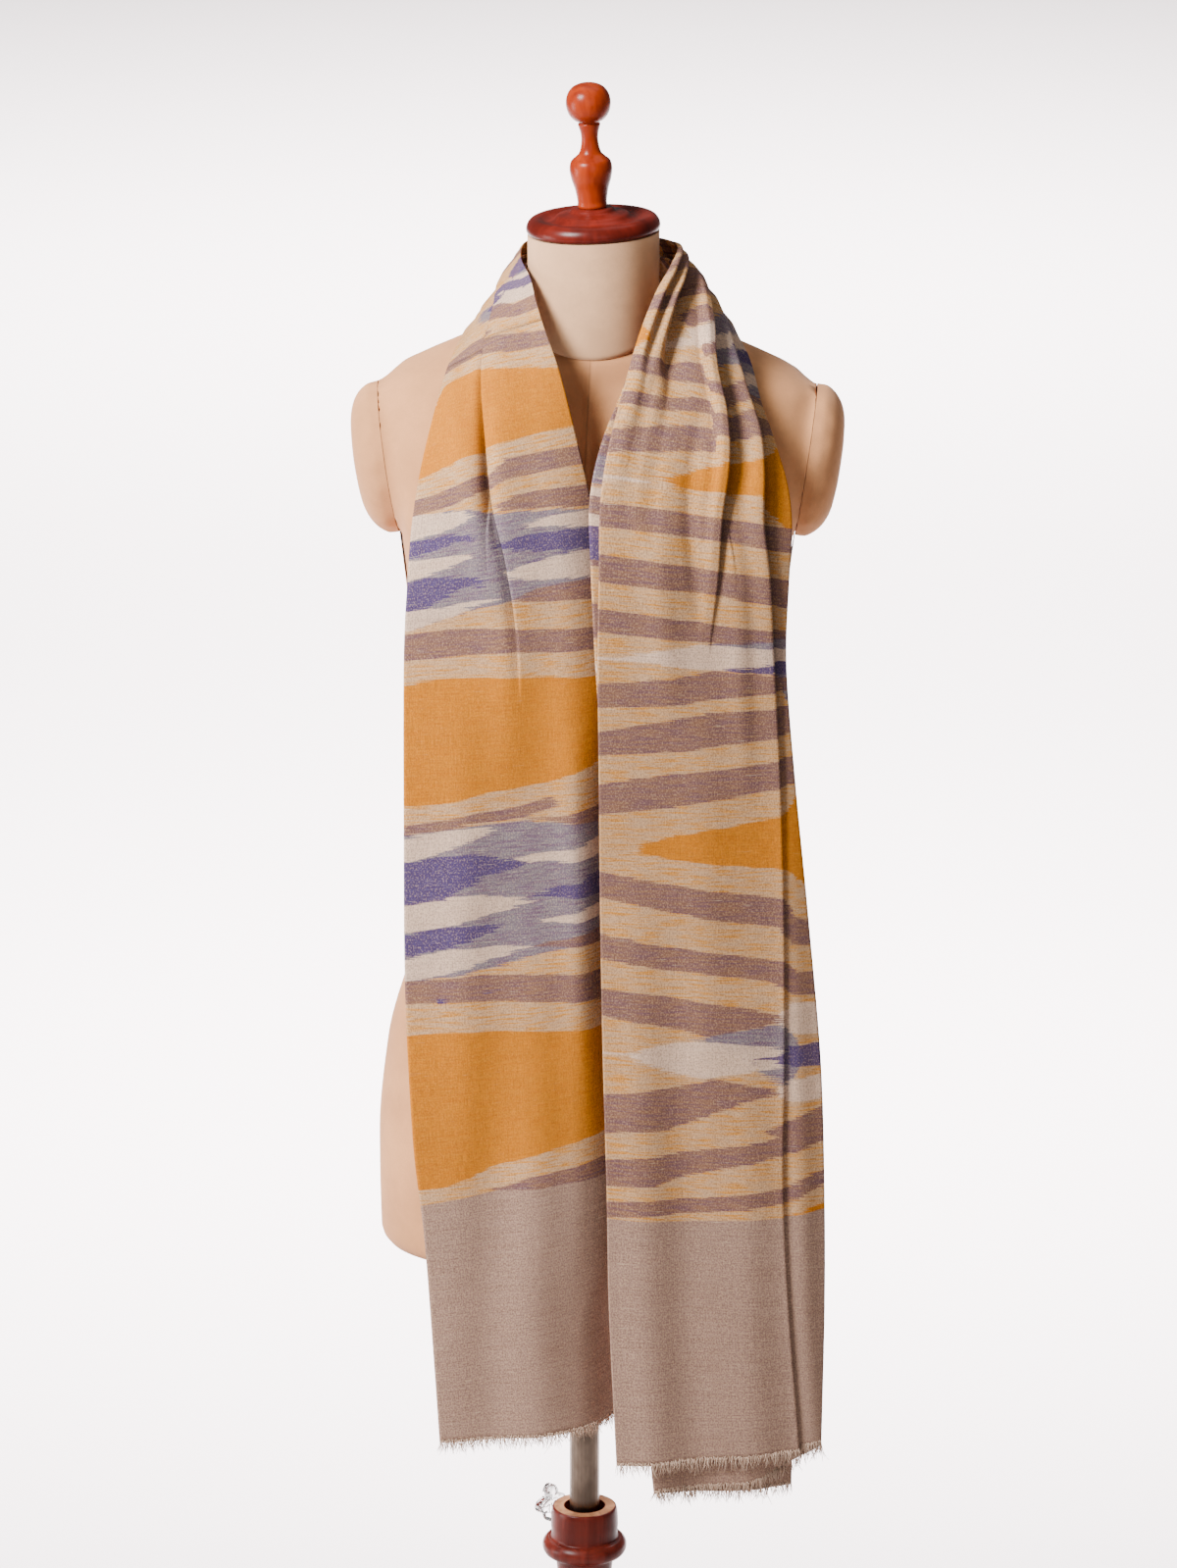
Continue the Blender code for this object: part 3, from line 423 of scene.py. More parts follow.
# ---------- the form and its stand
FORM_X = 0.010
FORM_TURN = math.radians(-2)
NECK_X = 0.007
NECK_RADIUS = 0.050
NECK_SEAM_Z = 1.497
NECK_SEAM_TILT = 0.404
NECK_TOP_Z = 1.5665
NECK_FIRST_LEVELS = (0.0, 0.01, 0.02, 0.035)
NECK_PADDING = 0.0003
NECK_TUCK = 0.0011  # the neck's cover turns in above the seam
NECK_TUCK_REACH = 0.03  # as a share of the neck's height
CAP_TILT = math.radians(2.3)
ARM_PLATE_Z = 1.3885
ARM_PLATE_TILT = math.radians(8)
ARM_PLATE_HEIGHT = 0.119
ARM_PLATE_DEPTH = 0.094
ARM_PLATE_BULGE = 0.0265
ARM_PLATE_X = 0.1605
ARM_PLATE_Y = 0.006
PLATE_GAP = 0.0002  # each side of the seam between torso and arm plate
PLATE_BLEND = 0.020  # the torso is drawn to the plate's oval over this much
PLATE_LEVELS = 22
PLATE_SEGMENTS = 72
PLATES_FROM = 1.25
PUCKER = 0.012  # of the gathered rim, where on the dome's rise, and its reach
PUCKER_AT = 0.3
PUCKER_REACH = 0.25
ARM_PLATE_DOME = ((1.0, 0.0), (0.99, 0.25), (0.93, 0.52), (0.80, 0.77), (0.60, 0.93), (0.32, 1.0))
COLLAR_TOP_Z = 0.520
BORE_RADIUS = 0.0165
BORE_BOTTOM_Z = 0.060
BASE_TOP_Z = 0.036
KNOB_Z = 0.5135
KNOB_TURN = math.radians(143)
KNOB_RADIUS = 0.0163
KNOB_WAIST = 0.55  # between two arms, as a share of the radius
KNOB_STANDOFF = 0.0300
KNOB_ARMS = 4
# depth, and how far the outline draws in
KNOB_SECTION = (
    (0.0002, 0.003), (0.0004, 0.0012), (0.0012, 0.0003), (0.0025, 0), (0.007, 0),
    (0.0083, 0.0003), (0.0091, 0.0012), (0.0093, 0.003), (0.0093, 0.007), (0.008, 0.0078),
)
SEAM_GAP = 0.0003
ROUND = 96  # segments of a turned piece
AXIS_HOLE = 0.00005
SHARP_ANGLE = math.radians(50)
# ring of unstained wood round the collar's top: radius and lift
END_GRAIN = ((0.0245, -0.0008), (0.0245, 0.0001), (0.0168, 0.0001), (0.0168, -0.0008))
# height on the axis, half width, front, back, tilt (rise of the section per metre backwards)
TORSO = (
    (0.751, 0.158, 0.09, 0.098, 0),
    (0.754, 0.167, 0.098, 0.106, 0),
    (0.764, 0.1725, 0.103, 0.111, 0),
    (0.84, 0.1735, 0.105, 0.115, 0),
    (0.92, 0.166, 0.101, 0.112, 0),
    (1, 0.143, 0.092, 0.096, 0),
    (1.07, 0.123, 0.084, 0.082, 0),
    (1.13, 0.122, 0.085, 0.078, 0),
    (1.2, 0.136, 0.099, 0.082, 0),
    (1.26, 0.145, 0.11, 0.09, 0),
    (1.31, 0.149, 0.108, 0.097, 0),
    (1.33, 0.1525, 0.104, 0.099, 0),
    (1.345, 0.16, 0.1, 0.101, 0),
    (1.362, 0.168, 0.095, 0.102, 0),
    (1.385, 0.177, 0.084, 0.102, 0),
    (1.405, 0.1795, 0.076, 0.101, 0),
    (1.422, 0.178, 0.067, 0.098, 0.03),
    (1.436, 0.1745, 0.06, 0.094, 0.07),
    (1.446, 0.1695, 0.056, 0.09, 0.11),
    (1.455, 0.155, 0.054, 0.085, 0.16),
    (1.465, 0.125, 0.053, 0.079, 0.24),
    (1.476, 0.094, 0.052, 0.07, 0.32),
    (1.487, 0.067, 0.052, 0.061, 0.38),
    (1.4967, 0.0505, 0.0505, 0.0505, 0.404),
)
TORSO_ROUNDNESS = 2.25  # 2 is an ellipse
TORSO_SEGMENTS = 120
TORSO_LEVELS = 0.006  # from one ring to the next
NECK_FROM = 1.40  # from here up the torso leans over to the neck's middle
NECK_ROUND_FROM = 1.44  # and its sections turn to ellipses
FORM_INSET = 0.0009
TUCK = 0.0012  # the torso's cover turns in below the neck seam
TUCK_REACH = 0.0015

# turned profiles: radius, height, from the bottom up
CAP_PROFILE = (
    (0, 0), (0.047, 0), (0.05, 0.001), (0.0512, 0.0035), (0.0507, 0.007),
    (0.0485, 0.0105), (0.045, 0.0124), (0.0415, 0.0122), (0.037, 0.0104), (0.0335, 0.01),
    (0.03, 0.0114), (0.027, 0.014), (0.0235, 0.015), (0.018, 0.016), (0.015, 0.0188),
    (0, 0.019),
)
FINIAL_PROFILE = (
    (0, 0), (0.0108, 0), (0.0112, 0.005), (0.0128, 0.014), (0.0152, 0.022),
    (0.0163, 0.0295), (0.015, 0.0355), (0.0115, 0.0388), (0.0084, 0.042),
    (0.0064, 0.051), (0.0068, 0.057), (0.008, 0.0615), (0.0085, 0.0638), (0.008, 0.065),
    (0.0115, 0.0672), (0.0152, 0.0718), (0.0171, 0.0798), (0.0155, 0.0874), (0.0115, 0.0923),
    (0.0055, 0.0949), (0, 0.0953),
)
COLUMN_PROFILE = (
    (0, 0.0363), (0.07, 0.0363), (0.072, 0.042), (0.064, 0.052), (0.042, 0.062),
    (0.036, 0.076), (0.04, 0.096), (0.045, 0.125), (0.044, 0.17), (0.037, 0.24),
    (0.031, 0.3), (0.027, 0.38), (0.033, 0.386), (0.034, 0.393), (0.029, 0.4),
    (0.024, 0.406), (0.0225, 0.425), (0.025, 0.479),
    (0.031, 0.48), (0.0337, 0.484), (0.0337, 0.489), (0.0305, 0.493), (0.0272, 0.494),
    (0.0272, 0.506), (0.0262, 0.518), (0.025, COLLAR_TOP_Z), (BORE_RADIUS, COLLAR_TOP_Z),
    (BORE_RADIUS, BORE_BOTTOM_Z), (0, BORE_BOTTOM_Z),
)
BASE_PROFILE = (
    (0, 0), (0.196, 0), (0.2, 0.005), (0.2, 0.014), (0.196, 0.019),
    (0.185, 0.0205), (0.178, 0.0225), (0.14, 0.029), (0.09, BASE_TOP_Z),
    (0, BASE_TOP_Z),
)
BASE_SEGMENTS = 144


# ---------- the shawl's surface
def smooth_row(table, place):
    """The table's row at a fractional place, on a Catmull-Rom curve through its rows."""
    last = len(table) - 1
    first = min(int(place), last - 1)
    t = place - first
    rows = [table[min(max(k, 0), last)] for k in range(first - 1, first + 3)]
    weights = (
        -0.5 * t + t * t - 0.5 * t ** 3,
        1 - 2.5 * t * t + 1.5 * t ** 3,
        0.5 * t + 2 * t * t - 1.5 * t ** 3,
        -0.5 * t * t + 0.5 * t ** 3,
    )
    return [sum(w * row[c] for w, row in zip(weights, rows)) for c in range(len(table[0]))]


def edge_points(place):
    row = smooth_row(EDGES, place)
    return np.array(row[0:3]), np.array(row[3:6]), row[6] / 1000


def spine_point(place):
    inner, outer, _ = edge_points(place)
    return (inner + outer) / 2


def sheet_frame(place):
    inner, outer, bulge = edge_points(place)
    nearby = 0.05
    low = max(place - nearby, 0)
    high = min(place + nearby, len(EDGES) - 1)
    along = spine_point(high) - spine_point(low)
    outward = np.cross(along, outer - inner)
    return inner, outer, bulge, outward / np.linalg.norm(outward)


def blend(a, b, share):
    return a + (b - a) * share


def fold_corners(place, width):
    """(across, depth, layer, strip) of the folded section's control points, and its three folds.

    The strips are the front's three: up to the first ridge, up to the second, and the outer one.
    The folds are the two ridges and the inner fold behind.
    """
    row = smooth_row(FOLDS, place)
    ridge_1, under_1, ridge_2, under_2, back, roll = (row[c] / 1000 for c in (0, 1, 3, 4, 6, 7))
    open_1, open_2 = (min(max(row[c], 0), 1) for c in (2, 5))
    corners = [(0.0, 0.0, 0, 0)]
    depth = 0.0

    def run(start, end, level, layers, strip):
        for k, layer in enumerate(layers, 1):
            share = k / (len(layers) + 1)
            corners.append((blend(start, end, share), -level, layer, strip))

    def turn(at, level, inwards, layer, after):
        corners.extend((
            (at - inwards * FOLD_REACH, -level, layer, 2),
            (at, -level, layer, 2),
            (at, -level - LAYER_STEP, after, 2),
            (at - inwards * FOLD_REACH, -level - LAYER_STEP, after, 2),
        ))

    def pleat(ridge, under, open_share, level, layer):
        step = LAYER_STEP * open_share
        root = ridge - under
        turned_in = max(min(under / 2, FOLD_REACH), -FOLD_REACH)
        upright = step * (1 - min(abs(under) / (2 * FOLD_REACH), 1))
        corners.extend((
            (ridge - FOLD_REACH, -level, layer, layer),
            (ridge, -level, layer, layer),
            (ridge, -level - step + upright / 2, layer, layer + 1),
            (ridge - turned_in, -level - step + upright / 6, layer, layer + 1),
            (root + turned_in, -level - step - upright / 6, layer, layer + 1),
            (root, -level - step - upright / 2, layer, layer + 1),
            (root, -level - 2 * step, layer, layer + 1),
            (root + FOLD_REACH, -level - 2 * step, layer, layer + 1),
        ))
        return root, level + 2 * step

    for share, height in ROLL_SHAPE:
        corners.append((share * ridge_1, roll * height, 0, 0))
    root_1, depth = pleat(ridge_1, under_1, open_1, depth, 0)
    run(root_1, ridge_2, depth, (1, 1), 1)
    root_2, depth = pleat(ridge_2, under_2, open_2, depth, 1)
    run(root_2, width, depth, (2,), 2)
    turn(width, depth, 1, 2, 2.1)
    depth += LAYER_STEP
    run(width, back, depth, (2.5, 3, 3, 3), 2)
    turn(back, depth, -1, 3, 3.3)
    depth += LAYER_STEP
    run(back, TAIL_SHARE * width, depth, (3.7, 4, 4), 2)
    corners.append((TAIL_SHARE * width, -depth, 4, 2))
    return np.array(corners), (ridge_1, ridge_2, back)


def row_hem_share(place):
    here = spine_point(place)
    last = len(EDGES) - 1
    left_end = place < last / 2
    hem = spine_point(0 if left_end else last)
    share = max(0.0, 1 - np.linalg.norm(here - hem) / HEM_REACH)
    return share * share * (3 - 2 * share), LEFT_HEMS if left_end else RIGHT_HEMS


def spine_lengths(step=0.02):
    places = np.arange(0, len(EDGES) - 1 + step / 2, step)
    points = np.array([spine_point(min(p, len(EDGES) - 1)) for p in places])
    lengths = np.concatenate([[0], np.cumsum(np.linalg.norm(np.diff(points, axis=0), axis=1))])
    return places, lengths


PLACES, LENGTHS = spine_lengths()


def spline_plan(start, end):
    """How many steps each side of the section's curve takes, the same for every row."""
    widest = None
    for place in np.linspace(start, end, 24):
        inner, outer, _ = edge_points(place)
        corners, _ = fold_corners(place, np.linalg.norm(outer - inner))
        middles = (corners[:-1] + corners[1:]) / 2
        knots = np.vstack([corners[:1], middles, corners[-1:]])
        sides = np.linalg.norm(np.diff(knots[:, :2], axis=0), axis=1)
        widest = sides if widest is None else np.maximum(widest, sides)
    spacing = np.where(corners[:, 2] > BEHIND_FROM, BEHIND_STEP, ACROSS_STEP)
    return [
        max(1, math.ceil(side / step)) + (side < SHORT_SIDE)
        for side, step in zip(widest, spacing)
    ]


def section_curve(corners, plan):
    """The smooth curve that the section's middles lie on, as rows like the corners."""
    middles = (corners[:-1] + corners[1:]) / 2
    knots = np.vstack([corners[:1], middles, corners[-1:]])
    line = []
    for k, steps in enumerate(plan):
        start, end = knots[k], knots[k + 1]
        control = corners[k] if 0 < k < len(plan) - 1 else (start + end) / 2
        for t in np.arange(steps) / steps:
            line.append((1 - t) ** 2 * start + 2 * t * (1 - t) * control + t * t * end)
    line.append(corners[-1])
    return np.array(line)


def unfolded(line, width, ridge_1, ridge_2, back):
    """0 at the inner edge, 1 at the outer fold, 2 at the inner fold behind, and on.

    On the front the ridges lie at STRIP_ENDS, so a stripe can step where the cloth folds over.
    """
    across, layer = line[:, 0] / width, line[:, 2]
    marks = (0, ridge_1 - TUBE_WIDTH, ridge_1, ridge_2, width)
    strip = np.clip(np.round(line[:, 3]), 0, 2).astype(int)
    limits = np.array([0, *STRIP_ENDS[1:], 1])
    front = np.interp(line[:, 0], marks, (0, *STRIP_ENDS, 1))
    front = np.clip(front, limits[strip], limits[strip + 1])
    behind = 2 - across
    hidden = 2 - back / width + (across - back / width)
    spot = np.where(layer <= BEHIND_FROM, front, np.where(layer <= HIDDEN_FROM, behind, hidden))
    return np.clip(spot, 0, 3)


def soft_folds(across, length):
    """How far all layers stand out together for the folds that no pleat makes."""
    out = np.zeros_like(across)
    for (a_low, s_low), (a_high, s_high), reach, height in SOFT_FOLDS:
        if s_low < length < s_high:
            share = (length - s_low) / (s_high - s_low)
            ends = math.sin(math.pi * share) ** 0.7
            out += height * ends * np.exp(-((across - blend(a_low, a_high, share)) / reach) ** 2)
    return out


def eased(share):
    share = np.clip(share, 0, 1)
    return share * share * (3 - 2 * share)


def ridge_lifts(across, strip, length, folds):
    """How far a ridge stands out: a slow rise, then a sudden drop, sooner in what lies under it."""
    out = np.zeros_like(across)
    for which, start, rise, drop, hollow, table in RIDGE_LIFTS:
        beyond = across - folds[which]
        lift = np.interp(length, *zip(*table)) / 1000
        under = np.clip(strip - which, 0, 1)
        dropped = eased((beyond + UNDER_SHIFT * under) / drop)
        out += lift * eased((beyond + start) / rise) * (1 - dropped)
        out -= under * hollow * lift * np.exp(-((beyond - HOLLOW_OUT) / HOLLOW_REACH) ** 2)
    return out


def crease_depths(across, strip, length, folds):
    """0 to 1: how far down in the gap under a ridge each spot lies, where little light gets. The
    cloth's colour is darkened by it, as painted shade.
    """
    out = np.zeros_like(across)
    for which, *_, table in RIDGE_LIFTS:
        share = min(np.interp(length, *zip(*table)) / 1000 / CREASE_FULL, 1)
        beyond = across - folds[which]
        fade = np.exp(-(beyond / np.where(beyond > 0, CREASE_REACH, CREASE_IN)) ** 2)
        out = np.maximum(out, share * np.clip(strip - which, 0, 1) * fade)
    return out


def edge_droop(across, length):
    """How far the left end's inner margin hangs back, behind the right end."""
    at, back, reach = zip(*EDGE_DROOP)
    share = np.clip(1 - across * 1000 / np.interp(length, at, reach), 0, 1)
    return share ** 2 * np.interp(length, at, back) / 1000


def cloth_rows(start, end):
    first, last = np.interp([start, end], PLACES, LENGTHS)
    count = int(math.ceil((last - first) / ALONG_STEP)) + 1
    return np.interp(np.linspace(first, last, count), LENGTHS, PLACES)


def cloth_surface(place, plan):
    """Middle points, outward normals, unfolded spots, metres along and the depths of the painted
    shade in the gaps under the ridges, of one row.
    """
    inner, outer, bulge, outward = sheet_frame(place)
    span = outer - inner
    width = np.linalg.norm(span)
    corners, folds = fold_corners(place, width)
    line = section_curve(corners, plan)
    share, hems = row_hem_share(place)
    length = float(np.interp(place, PLACES, LENGTHS))
    across = line[:, 0] / width
    drop = share * np.interp(line[:, 2], range(len(hems)), hems)
    height = line[:, 1] + 4 * across * (1 - across) * bulge
    height += soft_folds(line[:, 0], length)
    height += ridge_lifts(line[:, 0], line[:, 3], length, folds)
    height -= edge_droop(line[:, 0], length)
    slope = np.gradient(line[:, :2], axis=0)
    slope /= np.linalg.norm(slope, axis=1)[:, None] + TINY
    side = np.outer(-slope[:, 1] / width, span) + np.outer(slope[:, 0], outward)
    middle = inner + np.outer(across, span) + np.outer(height, outward)
    middle[:, 2] -= drop
    # painted shade: how far each point lies down a gap under a ridge, which darkens its colour
    painted_crease_shade = crease_depths(line[:, 0], line[:, 3], length, folds)
    return middle, side, unfolded(line, width, *folds), length, painted_crease_shade


def closed_wall(name, middles, sides, thick):
    """A closed thin wall from a grid of middle points: its upper side, then its lower."""
    rows, count, _ = middles.shape
    upper = middles + sides * thick / 2
    lower = middles - sides * thick / 2
    top = np.arange(rows * count).reshape(rows, count)
    low = top + rows * count
    faces = []
    for corners in (
        (top[:-1, :-1], top[1:, :-1], top[1:, 1:], top[:-1, 1:]),
        (low[:-1, :-1], low[:-1, 1:], low[1:, 1:], low[1:, :-1]),
        (top[:-1, 0], low[:-1, 0], low[1:, 0], top[1:, 0]),
        (top[:-1, -1], top[1:, -1], low[1:, -1], low[:-1, -1]),
        (top[0, :-1], top[0, 1:], low[0, 1:], low[0, :-1]),
        (top[-1, :-1], low[-1, :-1], low[-1, 1:], top[-1, 1:]),
    ):
        faces.append(np.stack(corners, axis=-1).reshape(-1, 4))
    points = np.concatenate([upper.reshape(-1, 3), lower.reshape(-1, 3)])
    return mesh_object(name, points, np.concatenate(faces))


def mesh_object(name, points, faces):
    """faces all have as many corners. Turned outwards if the mesh came inside out."""
    points = np.asarray(points, float)
    faces = np.asarray(faces)
    a, b, c = (points[faces[:, k]] for k in (0, 1, 2))
    volume = np.einsum("ij,ij->i", a, np.cross(b, c)).sum()
    if faces.shape[1] == 4:
        d = points[faces[:, 3]]
        volume += np.einsum("ij,ij->i", a, np.cross(c, d)).sum()
    if volume < 0:
        faces = faces[:, ::-1]
    mesh = bpy.data.meshes.new(name)
    mesh.vertices.add(len(points))
    mesh.vertices.foreach_set("co", points.ravel())
    mesh.loops.add(faces.size)
    mesh.loops.foreach_set("vertex_index", faces.ravel().astype(np.int32))
    mesh.polygons.add(len(faces))
    starts = np.arange(0, faces.size, faces.shape[1], dtype=np.int32)
    mesh.polygons.foreach_set("loop_start", starts)
    mesh.update(calc_edges=True)
    mesh.shade_smooth()
    return linked(name, mesh)


def set_attribute(mesh, name, values):
    """One value for each point of the wall's grid, on both its sides."""
    values = np.concatenate([values, values])
    kind, field = ("FLOAT_VECTOR", "vector") if values.ndim == 2 else ("FLOAT", "value")
    mesh.attributes.new(name, kind, "POINT").data.foreach_set(field, values.ravel())


def set_uv(mesh, values):
    layer = mesh.uv_layers.new(name="weave")
    corner = np.empty(len(mesh.loops), np.int32)
    mesh.loops.foreach_get("vertex_index", corner)
    layer.data.foreach_set("uv", np.concatenate([values, values])[corner].ravel())


# ---------- dyes
def stations_of(notes):
    """A band's stations in shares of the width and metres, with a tip where it ends inside."""
    stations = [(at / 100, low / 1000, high / 1000) for at, low, high in sorted(notes)]
    (first, *_), (last, *_) = stations[0], stations[-1]
    tips = [((s[1] + s[2]) / 2, (s[1] + s[2]) / 2) for s in (stations[0], stations[-1])]
    before = [(first - TIP_REACH, *tips[0])] if first > NEAR_EDGES[0] else []
    after = [(last + TIP_REACH, *tips[1])] if last < NEAR_EDGES[1] else []
    return before + stations + after


def stepped(stations):
    """The stations, with a sudden step at each ridge that a steep change crosses."""
    made = [stations[0]]
    for old, new in zip(stations, stations[1:]):
        change = abs(old[1] + old[2] - new[1] - new[2]) / 2
        for ridge in STRIP_ENDS:
            if old[0] < ridge < new[0] and change > STEP_SLOPE * (new[0] - old[0]):
                made += [(ridge - STEP_HALF, *old[1:]), (ridge + STEP_HALF, *new[1:])]
                break
        made.append(new)
    return made


def edge_at(where, at, side):
    """Where a band's edge lies, and how much that changes from just before to just beyond."""
    before, beyond = (np.interp(where + step, at, side) for step in (-NEARBY, NEARBY))
    return np.interp(where, at, side), np.abs(beyond - before)


def dye_distances(spots, lengths):
    """How deep each point lies in each dye's bands, in metres, and how far its edge feathers."""
    folded = np.where(spots <= 1, spots, 1 - BACK_SKEW * (1 - np.abs(2 - spots)))
    inner = np.clip(1 - BACK_SKEW + BACK_SKEW * (spots - 2), 0, 1)
    folded = np.where(spots > 2, inner, folded)
    stray = BACK_WAVE[0] * np.sin(lengths * BACK_WAVE[1]) * np.minimum(spots - 1, 1)
    strayed = lengths + np.where(spots > 1, stray, 0)
    found = {dye: np.full(len(spots), -DEEPEST) for dye in DYES}
    feather = np.zeros(len(spots))
    nearest = np.full(len(spots), 1.0)
    for table, where, moved in ((BANDS, folded, strayed), (BACK_BANDS, spots, lengths)):
        for dye, notes in table:
            at, *sides = zip(*stepped(stations_of(notes)))
            runs_on = table is BANDS
            starts = at[0] - (runs_on and at[0] < NEAR_EDGES[0])
            ends = at[-1] + (runs_on and at[-1] > NEAR_EDGES[1])
            (lower, steep_low), (upper, steep_high) = (edge_at(where, at, side) for side in sides)
            to_low, to_high = moved - lower, upper - moved
            depth = np.minimum(to_low, to_high)
            beside = np.minimum(where - starts, ends - where) * CLOTH_WIDTH
            depth = np.where(beside < 0, np.minimum(depth, beside * BESIDE_SHARE), depth)
            found[dye] = np.maximum(found[dye], np.clip(depth, -DEEPEST, DEEPEST))
            steep = np.where(to_low < to_high, steep_low, steep_high) / (2 * NEARBY * CLOTH_WIDTH)
            steep = np.where(steep > SUDDEN, 0, steep)
            close = np.abs(depth) < nearest
            feathered = FEATHER[0] + FEATHER[1] * np.minimum(steep, STEEPEST)
            feather = np.where(close, feathered, feather)
            nearest = np.where(close, np.abs(depth), nearest)
    return found, feather


# ---------- materials
class Nodes:
    """A small helper round one material's node tree."""

    def __init__(self, name):
        self.material = bpy.data.materials.new(name)
        self.material.use_nodes = True
        self.tree = self.material.node_tree
        self.shader = self.tree.nodes["Principled BSDF"]

    def node(self, kind, **settings):
        made = self.tree.nodes.new("ShaderNode" + kind)
        for key, value in settings.items():
            setattr(made, key, value)
        return made

    def put(self, socket, value):
        if isinstance(value, bpy.types.NodeSocket):
            self.tree.links.new(value, socket)
        elif value is not None:
            socket.default_value = value

    def fill(self, kind, *values, **settings):
        """A node whose first sockets hold these values. Returns its outputs."""
        made = self.node(kind, **settings)
        for socket, value in zip(made.inputs, values):
            self.put(socket, value)
        return made.outputs

    def attribute(self, name, output="Fac"):
        return self.node("Attribute", attribute_name=name).outputs[output]

    def place(self):
        return self.node("TexCoord").outputs["Object"]

    def times(self, a, b, plus=None):
        kind = "MULTIPLY" if plus is None else "MULTIPLY_ADD"
        return self.fill("Math", a, b, plus, operation=kind)[0]

    def plus(self, a, b):
        return self.fill("Math", a, b, operation="ADD")[0]

    def minus(self, a, b):
        return self.fill("Math", a, b, operation="SUBTRACT")[0]

    def mix(self, share, a, b):
        made = self.node("Mix", data_type="RGBA")
        self.put(made.inputs[0], share)
        for socket, value in ((made.inputs[6], a), (made.inputs[7], b)):
            self.put(socket, (*value, 1) if isinstance(value, tuple) else value)
        return made.outputs[2]

    def noise(self, vector, stretch, detail=2, roughness=0.5, distortion=0):
        made = self.node("TexNoise")
        self.put(made.inputs["Vector"], self.fill(
            "VectorMath", vector, stretch, operation="MULTIPLY",
        )[0])
        made.inputs["Scale"].default_value = 1
        made.inputs["Detail"].default_value = detail
        made.inputs["Roughness"].default_value = roughness
        made.inputs["Distortion"].default_value = distortion
        return made.outputs["Fac"]

    def step(self, value, low, high):
        made = self.node("MapRange", interpolation_type="SMOOTHSTEP")
        self.put(made.inputs["Value"], value)
        made.inputs["From Min"].default_value = low
        made.inputs["From Max"].default_value = high
        return made.outputs["Result"]

    def bump(self, height, strength, distance):
        made = self.node("Bump")
        made.inputs["Strength"].default_value = strength
        made.inputs["Distance"].default_value = distance
        self.put(made.inputs["Height"], height)
        self.put(self.shader.inputs["Normal"], made.outputs[0])

    def set(self, **values):
        for key, value in values.items():
            self.put(self.shader.inputs[key.replace("_", " ")], value)
        return self.material


def cloth_material():
    n = Nodes("pashmina")
    uv = n.node("UVMap", uv_map="weave").outputs[0]
    depths = [*n.fill("SeparateXYZ", n.attribute("dyes_a", "Vector"))]
    depths += n.fill("SeparateXYZ", n.attribute("dyes_b", "Vector"))
    feather = n.attribute("feather")
    # yarn by yarn along the weft: each row of the cloth has its own reach
    rows = n.noise(uv, (14, 900, 1), detail=1, roughness=0.6)
    rows_b = n.noise(uv, (30, 620, 7), detail=1, roughness=0.6)
    streaks = [n.times(noise, *STREAK_SPREAD) for noise in (rows, rows_b)]
    slub = n.noise(uv, (26, 760, 3), roughness=0.7)
    fleck = n.noise(uv, (620, 620, 1), detail=1)
    warp = n.noise(uv, (420, 9, 1), roughness=0.6)
    threads_across = n.noise(uv, (150, 1150, 5), roughness=0.65)
    threads_along = n.noise(uv, (1150, 90, 9), roughness=0.65)
    cloud = n.noise(uv, (9, 14, 1))
    colour = n.mix(n.step(rows_b, 0.40, 0.70), BEIGE, BEIGE_WARM)
    for number, (dye, depth) in enumerate(zip(DYES, depths)):
        main, second, cover, feathering = DYES[dye]
        moved = n.times(streaks[number % 2], n.times(feather, feathering), depth)
        own = n.mix(n.step((rows_b, rows)[number % 2], 0.34, 0.70), main, second)
        mask = n.times(n.step(moved, -DYE_EDGE, DYE_EDGE), cover)
        colour = n.mix(mask, colour, own)
        golden = mask if dye == "mustard" else n.times(golden, n.minus(1, mask))
    # the pale warp shows through as flecks, and thick weft yarns as streaks, less so on mustard
    plain = n.times(golden, -0.75, 1)
    colour = n.mix(n.times(plain, n.times(n.step(fleck, 0.50, 0.68), 0.26)), colour, WARP_PALE)
    worn = n.times(golden, -0.35, 1)
    colour = n.mix(n.times(worn, n.times(n.step(fleck, 0.56, 0.36), 0.38)), colour, WARP_DARK)
    colour = n.mix(n.times(plain, n.times(n.step(slub, 0.66, 0.76), 0.42)), colour, SLUB_PALE)
    weave_tone_and_painted_shade = n.times(warp, 0.22, 0.89)
    # weave tones from the threads and clouds, and painted shade in the gaps under the ridges, which
    # darkens the colour there by up to 78 %
    for noise, spread, least in (
        (threads_across, 0.44, 0.78), (threads_along, 0.90, 0.55), (cloud, 0.24, 0.88),
        (n.attribute("painted_crease_shade"), -0.78, 1),
    ):
        weave_tone_and_painted_shade = n.times(weave_tone_and_painted_shade, n.times(noise, spread, least))
    dim = n.node("VectorMath", operation="SCALE")
    n.put(dim.inputs[0], colour)
    n.put(dim.inputs["Scale"], weave_tone_and_painted_shade)
    height = n.plus(n.times(fleck, 0.5), n.times(slub, 0.7))
    n.bump(n.plus(height, n.plus(threads_across, threads_along)), *NAP)
    return n.set(
        Base_Color=dim.outputs[0], Roughness=0.82, Sheen_Weight=0, Specular_IOR_Level=0.08,
    )


def fringe_material():
    n = Nodes("fringe yarn")
    tone = n.noise(n.place(), (900, 900, 30), detail=1)
    colour = n.mix(tone, srgb(168, 138, 118), srgb(214, 186, 164))
    return n.set(Base_Color=colour, Roughness=0.85, Specular_IOR_Level=0.1)


def shaded(colour, share):
    return tuple(min(1, c * share) for c in colour)


